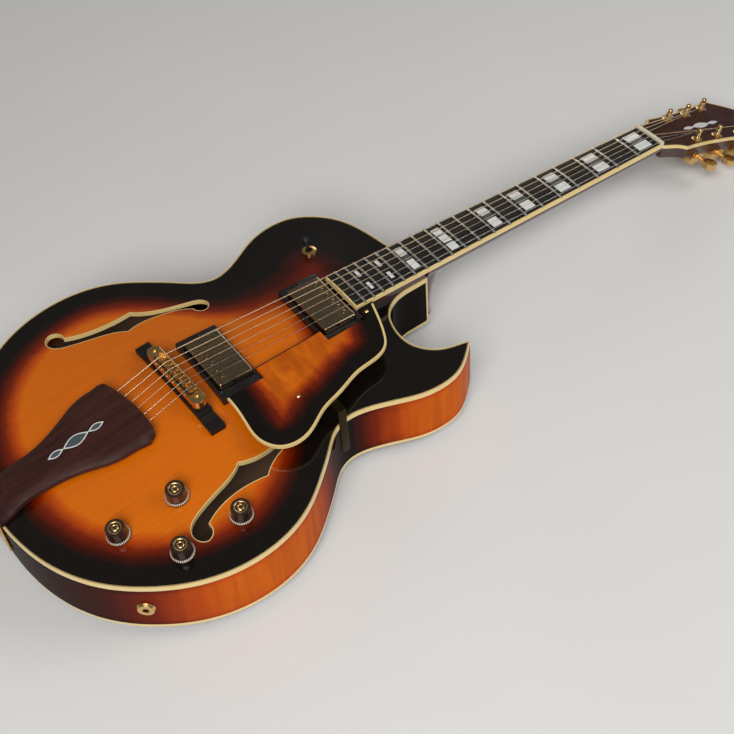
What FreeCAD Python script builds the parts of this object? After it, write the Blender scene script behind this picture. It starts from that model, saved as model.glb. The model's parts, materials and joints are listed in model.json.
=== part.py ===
import FreeCAD, Part
import math
import os

import Sketcher
from FreeCAD import Placement, Rotation, Vector

# Archtop guitar with one cutaway, lying on its back.
# The origin is the middle of the tail strap pin's head, half-way down the side.
# +X runs along the neck to the headstock, +Y to the bass side, +Z up out of the top.

SIZES = {
    # Body outline, stations measured from the tail
    "body_length": 499.5,
    "lower_width": 402.0,
    "lower_station": 172.0,
    "waist_width": 244.6,
    "waist_station": 325.0,
    "upper_half": 152.6,
    "upper_station": 417.0,
    "horn_half": 148.2,
    "horn_station": 420.5,
    "tip_half": 119.7,
    "tip_station": 478.7,
    "cutaway_half": 72.0,
    "cutaway_station": 427.8,
    "joint_half": 22.7,
    # Body shell
    "rim_depth": 69.0,
    "rim_wall": 3.0,
    "lining_width": 6.0,
    "lining_depth": 14.0,
    "top_thick": 5.5,
    "back_thick": 4.0,
    "top_arch": 20.0,
    "back_arch": 15.0,
    "binding_width": 2.2,
    "neck_block_length": 55.0,
    "tail_block_length": 28.0,
    "block_width": 84.0,
    "tone_bar_length": 270.0,
    "tone_bar_width": 8.0,
    "tone_bar_depth": 11.0,
    "tone_bar_offset": 54.0,
    # Sound holes
    "hole_length": 164.0,
    "hole_width": 75.0,
    "hole_station": 133.5,
    "hole_offset": 84.8,
    "hole_binding": 0.8,
    # Neck and fretboard
    "scale_length": 628.0,
    "bridge_station": 217.5,
    "neck_angle": 3.8,
    "board_over_apex": 16.9,
    "board_length": 442.0,
    "board_thick": 6.2,
    "board_radius": 305.0,
    "board_half_nut": 21.5,
    "board_half_end": 27.9,
    "board_binding": 1.6,
    "fret_width": 2.5,
    "fret_rise": 1.1,
    "tang_width": 0.6,
    "tang_depth": 1.8,
    "inlay_depth": 1.4,
    "neck_depth_nut": 14.5,
    "neck_depth_joint": 17.0,
    "nut_thick": 5.0,
    "nut_rise": 2.3,
    "heel_half": 15.0,
    "heel_reach": 17.0,
    "heel_flare": 44.0,
    "heel_cap_thick": 2.5,
    "truss_radius": 2.5,
    "truss_length": 380.0,
    # Headstock and tuners
    "head_angle": 14.0,
    "head_length": 188.0,
    "head_half": 44.5,
    "head_thick": 13.5,
    "veneer_thick": 2.0,
    "head_binding": 1.8,
    "head_binding_depth": 3.6,
    "first_post": 58.0,
    "post_pitch": 36.0,
    "post_inset": 8.8,
    "post_radius": 3.0,
    "post_waist": 2.6,
    "post_height": 14.0,
    "bushing_radius": 4.8,
    "bushing_flange": 6.6,
    "bushing_rise": 1.2,
    "housing_length": 23.0,
    "housing_width": 17.0,
    "housing_height": 13.0,
    "gear_radius": 6.0,
    "gear_thick": 3.5,
    "worm_radius": 1.9,
    "button_length": 15.0,
    "button_width": 17.0,
    "button_thick": 7.0,
    "button_gap": 4.0,
    "running_gap": 0.1,
    # Strings
    "thick_string": 1.32,
    "nut_spread": 36.0,
    "bridge_spread": 52.0,
    "nut_clear": 1.9,
    "bridge_clear": 5.0,
    "string_bend": 5.0,
    "wrap_gap": 0.5,
    "string_gap": 0.45,
    # Bridge
    "bridge_setback": 8.0,
    "bridge_slant": 2.4,
    "base_length": 138.0,
    "base_width": 16.0,
    "base_block": 96.0,
    "wing_rise": 0.8,
    "bar_length": 92.0,
    "bar_width": 14.5,
    "bar_height": 7.5,
    "trough_length": 66.0,
    "trough_width": 10.4,
    "trough_depth": 5.0,
    "saddle_length": 5.4,
    "saddle_width": 9.0,
    "saddle_show": 4.4,
    "saddle_rest": 1.9,
    "screw_radius": 0.8,
    "bridge_post_radius": 2.0,
    "bridge_post_spread": 76.0,
    "bridge_post_seat": 5.0,
    "wheel_radius": 7.0,
    "wheel_thick": 2.5,
    "bridge_travel": 3.3,
    # Pickups
    "bridge_pickup_station": 39.0,
    "neck_pickup_station": 162.5,
    "bridge_pickup_drop": 3.8,
    "neck_pickup_drop": 1.7,
    "cover_length": 70.0,
    "cover_width": 38.5,
    "cover_height": 19.0,
    "cover_wall": 1.0,
    "cover_round": 2.2,
    "cover_show": 7.5,
    "ring_length": 92.0,
    "ring_width": 46.0,
    "ring_gap": 0.4,
    "ring_flange": 3.0,
    "pole_radius": 2.2,
    "pole_rise": 0.8,
    "height_screw_radius": 1.3,
    # Controls on the top
    "knob_skirt": 11.8,
    "knob_radius": 10.4,
    "knob_crown": 9.2,
    "knob_height": 16.0,
    "knob_lift": 1.0,
    "shaft_radius": 3.0,
    "pot_radius": 12.0,
    "pot_height": 9.0,
    "pot_bushing": 4.6,
    "pot_nut": 6.5,
    "knob_row_station": 112.5,
    "knob_row_pitch": 62.5,
    "inner_knob_half": 104.8,
    "outer_knob_half": 155.6,
    "outer_knob_shift": 37.2,
    "toggle_station": 423.0,
    "toggle_half": 87.4,
    "toggle_bushing": 5.6,
    "toggle_nut": 8.0,
    "toggle_body": 11.0,
    "toggle_depth": 22.0,
    "lever_radius": 1.6,
    "lever_length": 13.0,
    "tip_radius": 4.0,
    "tip_length": 9.5,
    "lever_lean": 14.0,
    # Pickguard
    "guard_station": 15.5,
    "guard_length": 189.0,
    "guard_inner": 30.5,
    "guard_width": 102.2,
    "guard_rise": 0.3,
    "guard_thick": 3.2,
    "guard_binding": 2.2,
    "guard_clear": 0.6,
    "strap_width": 9.0,
    "strap_thick": 1.4,
    "strap_drop": 44.0,
    "strap_under": 26.0,
    "guard_post_radius": 3.0,
    "guard_screw_station": 75.0,
    "guard_screw_half": 87.0,
    "guard_screw_head": 2.4,
    "guard_screw_radius": 1.3,
    "guard_screw_rise": 0.9,
    # Tailpiece
    "tailpiece_length": 162.0,
    "tailpiece_half": 45.0,
    "tailpiece_thick": 9.0,
    "tailpiece_front_rise": 10.5,
    "tailpiece_rear_rise": 12.0,
    "tailpiece_roll": 4.0,
    "tailpiece_nose": 184.0,
    "tailpiece_skew": 24.5,
    "tailpiece_clear": 1.0,
    "tailpiece_bass_round": 3.0,
    "tailpiece_treble_round": 7.0,
    "tail_plate_width": 34.0,
    "tail_plate_thick": 2.0,
    "tail_plate_drop": 52.0,
    # Jack and strap pins
    "jack_station": 69.0,
    "jack_bore": 3.25,
    "jack_barrel": 5.0,
    "jack_flange": 9.0,
    "jack_flange_thick": 3.0,
    "jack_length": 24.0,
    "pin_head_radius": 7.0,
    "pin_head_thick": 3.4,
    "pin_neck_radius": 3.6,
    "pin_neck_length": 7.0,
    "pin_seat": 2.0,
}

FRET_COUNT = 20
STRING_COUNT = 6
HALF = 0.5
PAIR = 2

doc = FreeCAD.newDocument("ArchtopGuitar")
sheet = doc.addObject("Spreadsheet::Sheet", "Dims")
for row, (alias, value) in enumerate(SIZES.items(), start=1):
    sheet.set(f"A{row}", alias)
    sheet.set(f"B{row}", str(value))
    sheet.setAlias(f"B{row}", alias)
doc.recompute()


class Sizes:
    """The sheet's cells, read by alias."""

    def __getattr__(self, alias):
        return float(getattr(sheet, alias))


size = Sizes()
nodes = []

# Levels and stations that several pieces share
TAIL_X = size.pin_head_thick * HALF + size.pin_neck_length + size.tail_plate_thick
FRONT_X = TAIL_X + size.body_length
BRIDGE_LINE = TAIL_X + size.bridge_station
NUT_X = BRIDGE_LINE + size.scale_length
TOP_Z = size.rim_depth * HALF
BACK_Z = -TOP_Z
APEX_Z = TOP_Z + size.top_arch
REACH = size.body_length + size.scale_length
UP = Vector(0, 0, 1)
ACROSS = Vector(0, 1, 0)
ALONG = Vector(1, 0, 0)


def board_level(x):
    """Height of the fretboard's plane over any station."""
    slope = math.tan(math.radians(size.neck_angle))
    return APEX_Z + size.board_over_apex - slope * (x - BRIDGE_LINE)


NECK = Placement(Vector(NUT_X, 0, board_level(NUT_X)), Rotation(ACROSS, size.neck_angle))
HEAD = NECK.multiply(Placement(
    Vector(size.nut_thick, 0, size.veneer_thick - size.board_thick),
    Rotation(ACROSS, size.head_angle)))
BRIDGE = Placement(Vector(BRIDGE_LINE - size.bridge_setback, 0, 0), Rotation(UP, size.bridge_slant))


def between(start, end, share):
    return start + (end - start) * share


def node(label, shape, placement=None):
    """A finished sub-part from a shape."""
    piece = doc.addObject("Part::Feature", label)
    piece.Label = label
    piece.Shape = shape
    if placement is not None:
        piece.Placement = placement
    nodes.append(piece)
    return piece


def finished(piece, label, placement=None):
    """A finished sub-part from a body or primitive of the document."""
    piece.Label = label
    if placement is not None:
        piece.Placement = placement
    nodes.append(piece)
    return piece


def moved(shape, placement):
    copy = shape.copy()
    copy.Placement = placement.multiply(copy.Placement)
    return copy


def box(low, high):
    """A block between two opposite corners."""
    span = high - low
    return Part.makeBox(span.x, span.y, span.z, low)


# Outlines are lists of stretches: each a list of points, joined at corners, run anticlockwise.
def curve_of(points):
    if len(points) == PAIR:
        return Part.LineSegment(points[0], points[-1])
    curve = Part.BSplineCurve()
    curve.interpolate(points)
    return curve


def wire_of(stretches):
    return Part.Wire([curve_of(points).toShape() for points in stretches])


def inward(curve, point):
    direction = curve.tangent(curve.parameter(point))[0]
    return Vector(-direction.y, direction.x, 0).normalize()


def inset(stretches, distance):
    """The outline moved inward, with mitred corners."""
    curves = [curve_of(points) for points in stretches]
    normals = [[inward(curve, point) for point in points] for points, curve in zip(stretches, curves)]

    def corner(point, before, after):
        return point + (before + after) * (distance / (1 + before.dot(after)))

    result = []
    for index, points in enumerate(stretches):
        following = (index + 1) % len(stretches)
        start = corner(points[0], normals[index - 1][-1], normals[index][0])
        end = corner(points[-1], normals[index][-1], normals[following][0])
        middle = [point + normal * distance for point, normal in zip(points[1:-1], normals[index][1:-1])]
        result.append([start] + middle + [end])
    return result


def prism(stretches, low, high):
    face = Part.Face(wire_of(stretches))
    face.translate(Vector(0, 0, low))
    return face.extrude(Vector(0, 0, high - low))


def ring(stretches, width, low, high):
    return prism(stretches, low, high).cut(prism(inset(stretches, width), low, high))


def blend(start, end, shares):
    """Points between two key points, by their shares along and across."""
    return [Vector(between(start.x, end.x, along), between(start.y, end.y, across), 0)
            for along, across in shares]


# Body outline
def station(along, half):
    return Vector(TAIL_X + along, half, 0)


shoulder_shares = [(0.036, 0.169), (0.086, 0.368), (0.236, 0.673), (0.505, 0.88), (0.758, 0.975)]
upper_shares = [(0.364, 0.2), (0.614, 0.58), (0.87, 0.93)]
waist_shares = [(0.111, 0.06), (0.243, 0.27), (0.412, 0.555), (0.559, 0.765), (0.72, 0.913)]
tail_shares = [(0.33, 0.056), (0.553, 0.165), (0.747, 0.317), (0.904, 0.539), (0.97, 0.729)]
horn_shares = [(0.134, 0.04), (0.342, 0.27), (0.537, 0.565), (0.737, 0.847)]
tip_shares = [(0.435, 0.147), (0.72, 0.505)]
bay_shares = [(0.314, 0.096), (0.6, 0.218), (0.823, 0.43), (0.974, 0.742)]
joint_shares = [(0.039, 0.371), (0.134, 0.661), (0.264, 0.842), (0.476, 0.968), (0.711, 0.992)]

joint = station(size.body_length, size.joint_half)
upper = station(size.upper_station, size.upper_half)
waist = station(size.waist_station, size.waist_width * HALF)
lower = station(size.lower_station, size.lower_width * HALF)
tail = station(0, 0)
horn = station(size.horn_station, -size.horn_half)
tip = station(size.tip_station, -size.tip_half)
bay = station(size.cutaway_station, -size.cutaway_half)
far_joint = station(size.body_length, -size.joint_half)


def mirrored(points):
    return [Vector(point.x, -point.y, point.z) for point in points]


shoulder_side = [joint] + blend(joint, upper, shoulder_shares)
shoulder_side += [upper] + blend(upper, waist, upper_shares)
lower_side = [waist] + blend(waist, lower, waist_shares) + [lower] + blend(lower, tail, tail_shares)
treble_side = list(reversed(mirrored(lower_side)))
far_waist = treble_side[-1]
treble_side += blend(far_waist, horn, horn_shares) + [horn] + blend(horn, tip, tip_shares) + [tip]
cutaway_side = [tip] + blend(tip, bay, bay_shares) + [bay] + blend(bay, far_joint, joint_shares) + [far_joint]
OUTLINE = [shoulder_side + lower_side + [tail] + treble_side, cutaway_side, [far_joint, joint]]

# Arched surfaces: the arch rises with the distance from the whole edge at once,
# by the sum over the edge of its length over the cube of its distance.
GRID_COLUMNS = 60
GRID_ROWS = 50
EDGE_SAMPLES = 420
EDGE_POWER = 3


def arch_shares():
    """A grid of points round the body with each one's share of the full arch."""
    border = wire_of(OUTLINE).discretize(EDGE_SAMPLES)
    pieces = [((a + b) * HALF, (b - a).Length) for a, b in zip(border, border[1:])]
    bounds = wire_of(OUTLINE).BoundBox
    margin_x = bounds.XLength / GRID_COLUMNS
    margin_y = bounds.YLength / GRID_ROWS

    def inside(x, y):
        crossings = 0
        for a, b in zip(border, border[1:]):
            if (a.y > y) != (b.y > y) and x < a.x + (b.x - a.x) * (y - a.y) / (b.y - a.y):
                crossings += 1
        return crossings % PAIR == 1

    def pull(x, y):
        total = 0.0
        for middle, length in pieces:
            total += length / math.hypot(middle.x - x, middle.y - y) ** EDGE_POWER
        return total

    grid = []
    for column in range(GRID_COLUMNS):
        x = between(bounds.XMin - margin_x, bounds.XMax + margin_x, column / (GRID_COLUMNS - 1))
        line = []
        for row in range(GRID_ROWS):
            y = between(bounds.YMin - margin_y, bounds.YMax + margin_y, row / (GRID_ROWS - 1))
            line.append((x, y, pull(x, y) if inside(x, y) else None))
        grid.append(line)
    least = min(force for line in grid for _, _, force in line if force)
    return [[(x, y, least / force if force else 0.0) for x, y, force in line] for line in grid]


def arch_face(grid, level, height):
    """A smooth surface over the grid."""
    degree = EDGE_POWER
    poles = [[Vector(x, y, level + height * share) for x, y, share in line] for line in grid]

    def knots(count):
        spans = count - degree
        return list(range(spans + 1)), [degree + 1] + [1] * (spans - 1) + [degree + 1]

    columns, column_repeats = knots(GRID_COLUMNS)
    rows, row_repeats = knots(GRID_ROWS)
    surface = Part.BSplineSurface()
    surface.buildFromPolesMultsKnots(
        poles, column_repeats, row_repeats, columns, rows, False, False, degree, degree)
    return surface.toShape()


def layer(face, start, depth):
    """The solid between a face moved down to a start depth and one lower still."""
    lowered = face.copy()
    lowered.translate(Vector(0, 0, -start))
    return lowered.extrude(Vector(0, 0, -depth))


grid = arch_shares()
TOP_FACE = arch_face(grid, TOP_Z, size.top_arch)
BACK_FACE = arch_face(grid, BACK_Z, -size.back_arch)
UNDER_TOP = layer(TOP_FACE, 0, size.rim_depth)
DEEP = size.rim_depth + size.top_arch + size.back_arch


def seat(x, y):
    """A frame on the top's surface whose Z leaves it squarely."""
    plumb = Part.makeLine(Vector(x, y, BACK_Z), Vector(x, y, APEX_Z + size.top_arch))
    _, pairs, details = TOP_FACE.distToShape(plumb)
    normal = TOP_FACE.normalAt(*details[0][2])
    if normal.z < 0:
        normal = normal * -1
    return Placement(pairs[0][0], Rotation(UP, normal))


# Sketched bodies. Corners are pairs of expressions on the sheet's cells.
def number(expression):
    return float(sheet.evalExpression(expression))


def sketch_in(body, role, name):
    sketch = body.newObject("Sketcher::SketchObject", name)
    plane = next(feature for feature in body.Origin.OriginFeatures if feature.Role == role)
    sketch.AttachmentSupport = (plane, [""])
    sketch.MapMode = "FlatFace"
    return sketch


def corner_sketch(body, role, corners, name):
    """A closed profile with every corner held by expressions."""
    sketch = sketch_in(body, role, name)
    spots = [Vector(number(across), number(up), 0) for across, up in corners]
    for index, spot in enumerate(spots):
        sketch.addGeometry(Part.LineSegment(spot, spots[(index + 1) % len(spots)]), False)
    for index in range(len(spots)):
        following = (index + 1) % len(spots)
        sketch.addConstraint(Sketcher.Constraint("Coincident", index, 2, following, 1))
    for index, corner in enumerate(corners):
        for kind, axis, expression in zip(("DistanceX", "DistanceY"), (-2, -1), corner):
            if expression == "0":
                sketch.addConstraint(Sketcher.Constraint("PointOnObject", index, 1, axis))
                continue
            held = sketch.addConstraint(
                Sketcher.Constraint(kind, -1, 1, index, 1, number(expression)))
            sketch.setExpression(f"Constraints[{held}]", expression)
    return sketch


def turned(name, corners):
    """A body turned about Z from a profile of radius and height."""
    body = doc.addObject("PartDesign::Body", name)
    sketch = corner_sketch(body, "XZ_Plane", corners, name + "_profile")
    turn = body.newObject("PartDesign::Revolution", name + "_turn")
    turn.Profile = sketch
    turn.ReferenceAxis = (sketch, ["V_Axis"])
    sketch.Visibility = False
    return body


def add_pad(body, role, corners, length, name, kind="PartDesign::Pad", side="Symmetric"):
    sketch = corner_sketch(body, role, corners, name + "_profile")
    pad = body.newObject(kind, name)
    pad.Profile = sketch
    pad.SideType = side
    pad.setExpression("Length", length)
    return pad


def rectangle(length, width):
    """Corners of a centred rectangle."""
    return [(f"-{length}/2", f"-{width}/2"), (f"{length}/2", f"-{width}/2"),
            (f"{length}/2", f"{width}/2"), (f"-{length}/2", f"{width}/2")]


def bound(kind, name, **expressions):
    """A primitive with its sizes bound to the sheet."""
    piece = doc.addObject(kind, name)
    for field, expression in expressions.items():
        piece.setExpression(field, expression)
    return piece


def shapes_of(body, placements):
    return [moved(body.Shape, placement) for placement in placements]


# Strings first: other pieces are grooved or drilled for them
string_shares = [0.3, 0.35, 0.46, 0.61, 0.8, 1.0]
string_radii = [size.thick_string * HALF * share for share in string_shares]


def sag(half):
    """How far the rounded fretboard falls away from its crown."""
    return size.board_radius - math.sqrt(size.board_radius ** 2 - half ** 2)


def spread(width, index):
    return between(-width * HALF, width * HALF, index / (STRING_COUNT - 1))


head_side_shares = [(0.0, 0.483), (0.09, 0.573), (0.144, 0.674), (0.165, 0.764)]
head_edge_shares = [(0.165, 0.764), (0.266, 0.742), (0.479, 0.775), (0.606, 0.831), (0.798, 1.0)]
head_crown_shares = [(0.798, 1.0), (0.867, 0.73), (0.94, 0.4), (1.0, 0.0)]


def head_points(shares, side):
    return [Vector(size.head_length * along, side * size.head_half * across, 0) for along, across in shares]


def head_outline():
    near = [head_points(shares, -1) for shares in (head_side_shares, head_edge_shares, head_crown_shares)]
    near[0][0].y = -size.board_half_nut
    far = [list(reversed(mirrored(points))) for points in reversed(near)]
    return near + far + [[far[-1][-1], near[0][0]]]


HEAD_OUTLINE = head_outline()
HEAD_EDGE = curve_of(head_points(head_edge_shares, 1)).toShape().discretize(EDGE_SAMPLES)


def head_half_at(along):
    """Half-width of the headstock at a station past the nut."""
    return min(HEAD_EDGE, key=lambda point: abs(point.x - along)).y


class Tuner:
    """Where one string's tuner stands on the headstock."""

    def __init__(self, index):
        half = STRING_COUNT // 2
        self.side = -1 if index < half else 1
        rank = index if index < half else STRING_COUNT - 1 - index
        self.along = size.first_post + size.post_pitch * rank
        self.half = head_half_at(self.along) - size.post_inset
        self.post = HEAD.multiply(Placement(Vector(self.along, self.side * self.half, 0), Rotation()))


tuners = [Tuner(index) for index in range(STRING_COUNT)]
WORM_OFFSET = size.gear_radius + size.worm_radius + size.running_gap + size.running_gap
HEAD_DEPTH = size.veneer_thick + size.head_thick
WORM_LEVEL = -HEAD_DEPTH - size.housing_height * HALF
WRAP_LEVEL = size.post_height * 0.55


def bent_path(points, radius):
    """A path of straight runs joined by tangent arcs."""
    edges = []
    start = points[0]
    for before, point, after in zip(points, points[1:], points[2:]):
        back = (before - point).normalize()
        onward = (after - point).normalize()
        angle = back.getAngle(onward) * HALF
        cut_back = radius / math.tan(angle)
        first = point + back * cut_back
        last = point + onward * cut_back
        middle_line = (back + onward).normalize()
        crown = point + middle_line * (radius / math.sin(angle) - radius)
        edges.append(Part.LineSegment(start, first).toShape())
        edges.append(Part.Arc(first, crown, last).toShape())
        start = last
    edges.append(Part.LineSegment(start, points[-1]).toShape())
    return Part.Wire(edges)


def tube(path, radius):
    """A round rod swept along a path."""
    start = path.Edges[0]
    point = start.valueAt(start.FirstParameter)
    direction = start.tangentAt(start.FirstParameter)
    section = Part.Wire(Part.makeCircle(radius, point, direction))
    return path.makePipeShell([section], True, False)


TAILPIECE_FRONT = TAIL_X + size.tailpiece_length
TAILPIECE_FRONT_Z = APEX_Z + size.tailpiece_front_rise
SADDLE_X = -size.saddle_rest


def tailpiece_front(half):
    """Where the tailpiece's slanted, slightly bowed front edge lies at a place across it."""
    off = half + size.tailpiece_skew
    return TAILPIECE_FRONT - size.tailpiece_nose + math.sqrt(size.tailpiece_nose ** 2 - off ** 2)



def saddle_point(index):
    """Middle of a string where it crosses its saddle."""
    half = spread(size.bridge_spread, index)
    spot = BRIDGE.multVec(Vector(SADDLE_X, half, 0))
    return Vector(spot.x, spot.y, board_level(spot.x) + size.bridge_clear - sag(half))


# A string runs past its own wrap with this many radii of room
WRAP_ROOM = 3
string_solids = []
for index, (tuner, radius) in enumerate(zip(tuners, string_radii)):
    at_saddle = saddle_point(index)
    nut_half = spread(size.nut_spread, index)
    at_nut = NECK.multVec(Vector(size.nut_thick * HALF, nut_half, size.nut_clear - sag(nut_half)))
    at_tail = Vector(
        tailpiece_front(at_saddle.y) - size.tailpiece_roll, at_saddle.y,
        TAILPIECE_FRONT_Z - size.tailpiece_thick * HALF)
    clear = size.post_waist + (size.thick_string + size.string_gap) * HALF + radius * WRAP_ROOM
    at_post = tuner.post.multVec(Vector(0, -tuner.side * clear, WRAP_LEVEL))
    path = bent_path([at_tail, at_saddle, at_nut, at_post], size.string_bend)
    string_solids.append(tube(path, radius))

# Body shell
f_outer_low_shares = [(0.12, 0.805), (0.21, 0.71), (0.34, 0.645), (0.448, 0.635), (0.555, 0.66)]
f_outer_high_shares = [(0.555, 0.66), (0.665, 0.485), (0.787, 0.385), (0.903, 0.315), (0.974, 0.245),
                       (1.0, 0.135), (0.984, 0.04), (0.945, 0.0), (0.905, 0.05), (0.89, 0.135)]
f_inner_high_shares = [(0.89, 0.135), (0.82, 0.235), (0.695, 0.31), (0.59, 0.335), (0.46, 0.28)]
f_inner_low_shares = [(0.46, 0.28), (0.36, 0.41), (0.237, 0.495), (0.134, 0.57), (0.073, 0.625),
                      (0.024, 0.705), (0.0, 0.83), (0.015, 0.94), (0.055, 1.0), (0.098, 0.965),
                      (0.12, 0.88), (0.12, 0.805)]


def sound_hole(side):
    """Outline of one f-hole, with its binding inside it."""
    runs = []
    for shares in (f_outer_low_shares, f_outer_high_shares, f_inner_high_shares, f_inner_low_shares):
        runs.append([station(
            size.hole_station + size.hole_length * along,
            side * (size.hole_offset + size.hole_width * across)) for along, across in shares])
    if side > 0:
        runs = [list(reversed(points)) for points in reversed(runs)]
    return runs


holes = [sound_hole(side) for side in (1, -1)]

bridge_pickup_x = BRIDGE_LINE + size.bridge_pickup_station
neck_pickup_x = BRIDGE_LINE + size.neck_pickup_station


def pickup_frame(x, drop):
    """Middle of a pickup cover's face, level with the strings."""
    return Placement(Vector(x, 0, board_level(x) - drop), Rotation(ACROSS, size.neck_angle))


PICKUPS = [pickup_frame(neck_pickup_x, size.neck_pickup_drop),
           pickup_frame(bridge_pickup_x, size.bridge_pickup_drop)]
ROUT_LENGTH = between(size.cover_length, size.ring_length, 0.8)
ROUT_WIDTH = between(size.cover_width, size.ring_width, 0.4)


def centred(length, width, low, high):
    return box(Vector(-length * HALF, -width * HALF, low), Vector(length * HALF, width * HALF, high))


routs = [moved(centred(ROUT_WIDTH, ROUT_LENGTH, -DEEP, 0), Placement(frame.Base, Rotation()))
         for frame in PICKUPS]

knob_spots = {}
for name, step in (("neck", 1), ("bridge", -1)):
    row_x = TAIL_X + size.knob_row_station + step * size.knob_row_pitch * HALF
    knob_spots[name + "_volume"] = seat(row_x, -size.inner_knob_half)
    knob_spots[name + "_tone"] = seat(row_x + size.outer_knob_shift, -size.outer_knob_half)
TOGGLE = seat(TAIL_X + size.toggle_station, size.toggle_half)


def drill(frame, radius, depth):
    """A round tool straight through a frame's origin, both ways."""
    return moved(Part.makeCylinder(radius, depth, Vector(0, 0, -depth * HALF)), frame)


FIT = size.running_gap
control_holes = [drill(frame, size.pot_bushing + FIT, size.rim_depth) for frame in knob_spots.values()]
control_holes.append(drill(TOGGLE, size.toggle_bushing + FIT, size.rim_depth))

plate_outline = inset(OUTLINE, size.binding_width)
top_layer = layer(TOP_FACE, 0, size.top_thick)
back_layer = layer(BACK_FACE, -size.back_thick, size.back_thick)
hole_tools = [prism(outline, BACK_Z, APEX_Z + size.top_arch) for outline in holes]
plate_tool = prism(plate_outline, -DEEP, DEEP)
node("top_plate", top_layer.common(plate_tool).cut(hole_tools + routs + control_holes))
node("back_plate", back_layer.common(plate_tool))

jack_line = Part.makeLine(
    Vector(TAIL_X + size.jack_station, 0, 0), Vector(TAIL_X + size.jack_station, -size.lower_width, 0))
rim_edge = wire_of(OUTLINE).Edges[0]
jack_spot = rim_edge.distToShape(jack_line)[1][0][0]
rim_curve = rim_edge.Curve
jack_normal = inward(rim_curve, jack_spot) * -1
JACK = Placement(jack_spot, Rotation(UP, jack_normal))

RIM_TOP = TOP_Z - size.top_thick
RIM_LOW = BACK_Z + size.back_thick
rim = ring(OUTLINE, size.rim_wall, RIM_LOW, RIM_TOP).cut(drill(JACK, size.jack_barrel, size.jack_length))
# An upright binding strip closes the cutaway's wall at the neck
corner_zone = box(
    Vector(FRONT_X - size.binding_width, -size.lower_width, BACK_Z),
    Vector(FRONT_X + DEEP, size.binding_width - size.joint_half, TOP_Z))
corner_strip = rim.common(corner_zone)
rim = rim.cut(corner_zone)


def zone(corners):
    """A tall block over a plan outline of straight runs."""
    return prism([[a, b] for a, b in zip(corners, corners[1:] + corners[:1])], -DEEP, DEEP)


# The sides are four strips: bass, treble below the waist, horn, and cutaway from the horn's tip
behind = tail - ALONG * REACH
ahead = tail + ALONG * REACH
beside = ACROSS * REACH
waist_foot = Vector(waist.x, 0, 0)
fork = waist_foot - ACROSS * (size.waist_width * HALF * HALF)
past_tip = tip + (tip - fork)
strip_zones = [
    zone([behind, ahead, ahead + beside, behind + beside]),
    zone([behind, behind - beside, waist_foot - beside, waist_foot]),
    zone([fork, waist_foot - beside, past_tip - beside, past_tip]),
    zone([waist_foot, fork, past_tip, Vector(past_tip.x, 0, 0)])]
node("rim", Part.makeCompound([rim.common(tool) for tool in strip_zones]))

edge_bindings = [ring(OUTLINE, size.binding_width, RIM_TOP, TOP_Z),
                 ring(OUTLINE, size.binding_width, BACK_Z, RIM_LOW), corner_strip]
for outline, tool in zip(holes, hole_tools):
    collar = tool.cut(prism(inset(outline, size.hole_binding), BACK_Z, APEX_Z + size.top_arch))
    edge_bindings.append(top_layer.common(collar))
node("body_bindings", Part.makeCompound(edge_bindings))

cavity = prism(inset(OUTLINE, size.rim_wall), BACK_Z - size.back_arch, APEX_Z)
cavity = cavity.cut(layer(TOP_FACE, -DEEP, DEEP + size.top_thick))
cavity = cavity.cut(layer(BACK_FACE, -size.back_thick, DEEP))
blocks = {}
for name, low_x, high_x in (
        ("neck_block", FRONT_X - size.neck_block_length, FRONT_X),
        ("tail_block", TAIL_X, TAIL_X + size.tail_block_length)):
    blank = box(Vector(low_x, -size.block_width * HALF, -DEEP), Vector(high_x, size.block_width * HALF, DEEP))
    blocks[name] = cavity.common(blank)
    node(name, blocks[name])

lining_edge = inset(OUTLINE, size.rim_wall)
linings = [ring(lining_edge, size.lining_width, RIM_TOP - size.lining_depth, RIM_TOP),
           ring(lining_edge, size.lining_width, RIM_LOW, RIM_LOW + size.lining_depth)]
linings = [strip.cut(list(blocks.values()) + [drill(JACK, size.jack_flange, size.rim_depth)])
           for strip in linings]
node("kerfed_linings", Part.makeCompound(linings))

bar_layer = layer(TOP_FACE, size.top_thick, size.tone_bar_depth)
bar_start = BRIDGE_LINE - size.tone_bar_length * HALF
tone_bars = []
for side in (1, -1):
    middle = side * size.tone_bar_offset
    low = Vector(bar_start, middle - size.tone_bar_width * HALF, BACK_Z)
    high = Vector(bar_start + size.tone_bar_length, middle + size.tone_bar_width * HALF, APEX_Z)
    tone_bars.append(bar_layer.common(box(low, high)))
node("tone_bars", Part.makeCompound(tone_bars))


# Neck, in its own frame: nut at zero, body towards minus X
def neck_station(x):
    """Where a station of the body falls along the neck."""
    return (x - NUT_X) / math.cos(math.radians(size.neck_angle))


def board_half(along):
    share = -along / size.board_length
    return between(size.board_half_nut, size.board_half_end, share)


BOARD_ROUND = moved(Part.makeCylinder(size.board_radius, REACH + REACH, Vector(0, 0, -REACH)), Placement(
    Vector(0, 0, -size.board_radius), Rotation(ACROSS, 90)))


def board_blank(trim, low, high):
    """The fretboard's plan less an even trim, between two levels."""
    length = size.board_length - trim
    near = size.board_half_nut - trim
    far = board_half(-length) - trim
    corners = [Vector(0, -near, low), Vector(0, near, low),
               Vector(-length, far, low), Vector(-length, -far, low)]
    face = Part.Face(Part.makePolygon(corners + corners[:1]))
    return face.extrude(Vector(0, 0, high - low))


def grown_round(rise):
    return moved(Part.makeCylinder(size.board_radius + rise, REACH + REACH, Vector(0, 0, -REACH)), Placement(
        Vector(0, 0, -size.board_radius), Rotation(ACROSS, 90)))


def fret_at(number_of_fret):
    octave = 12
    return -size.scale_length * (1 - 2 ** (-number_of_fret / octave))


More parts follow.
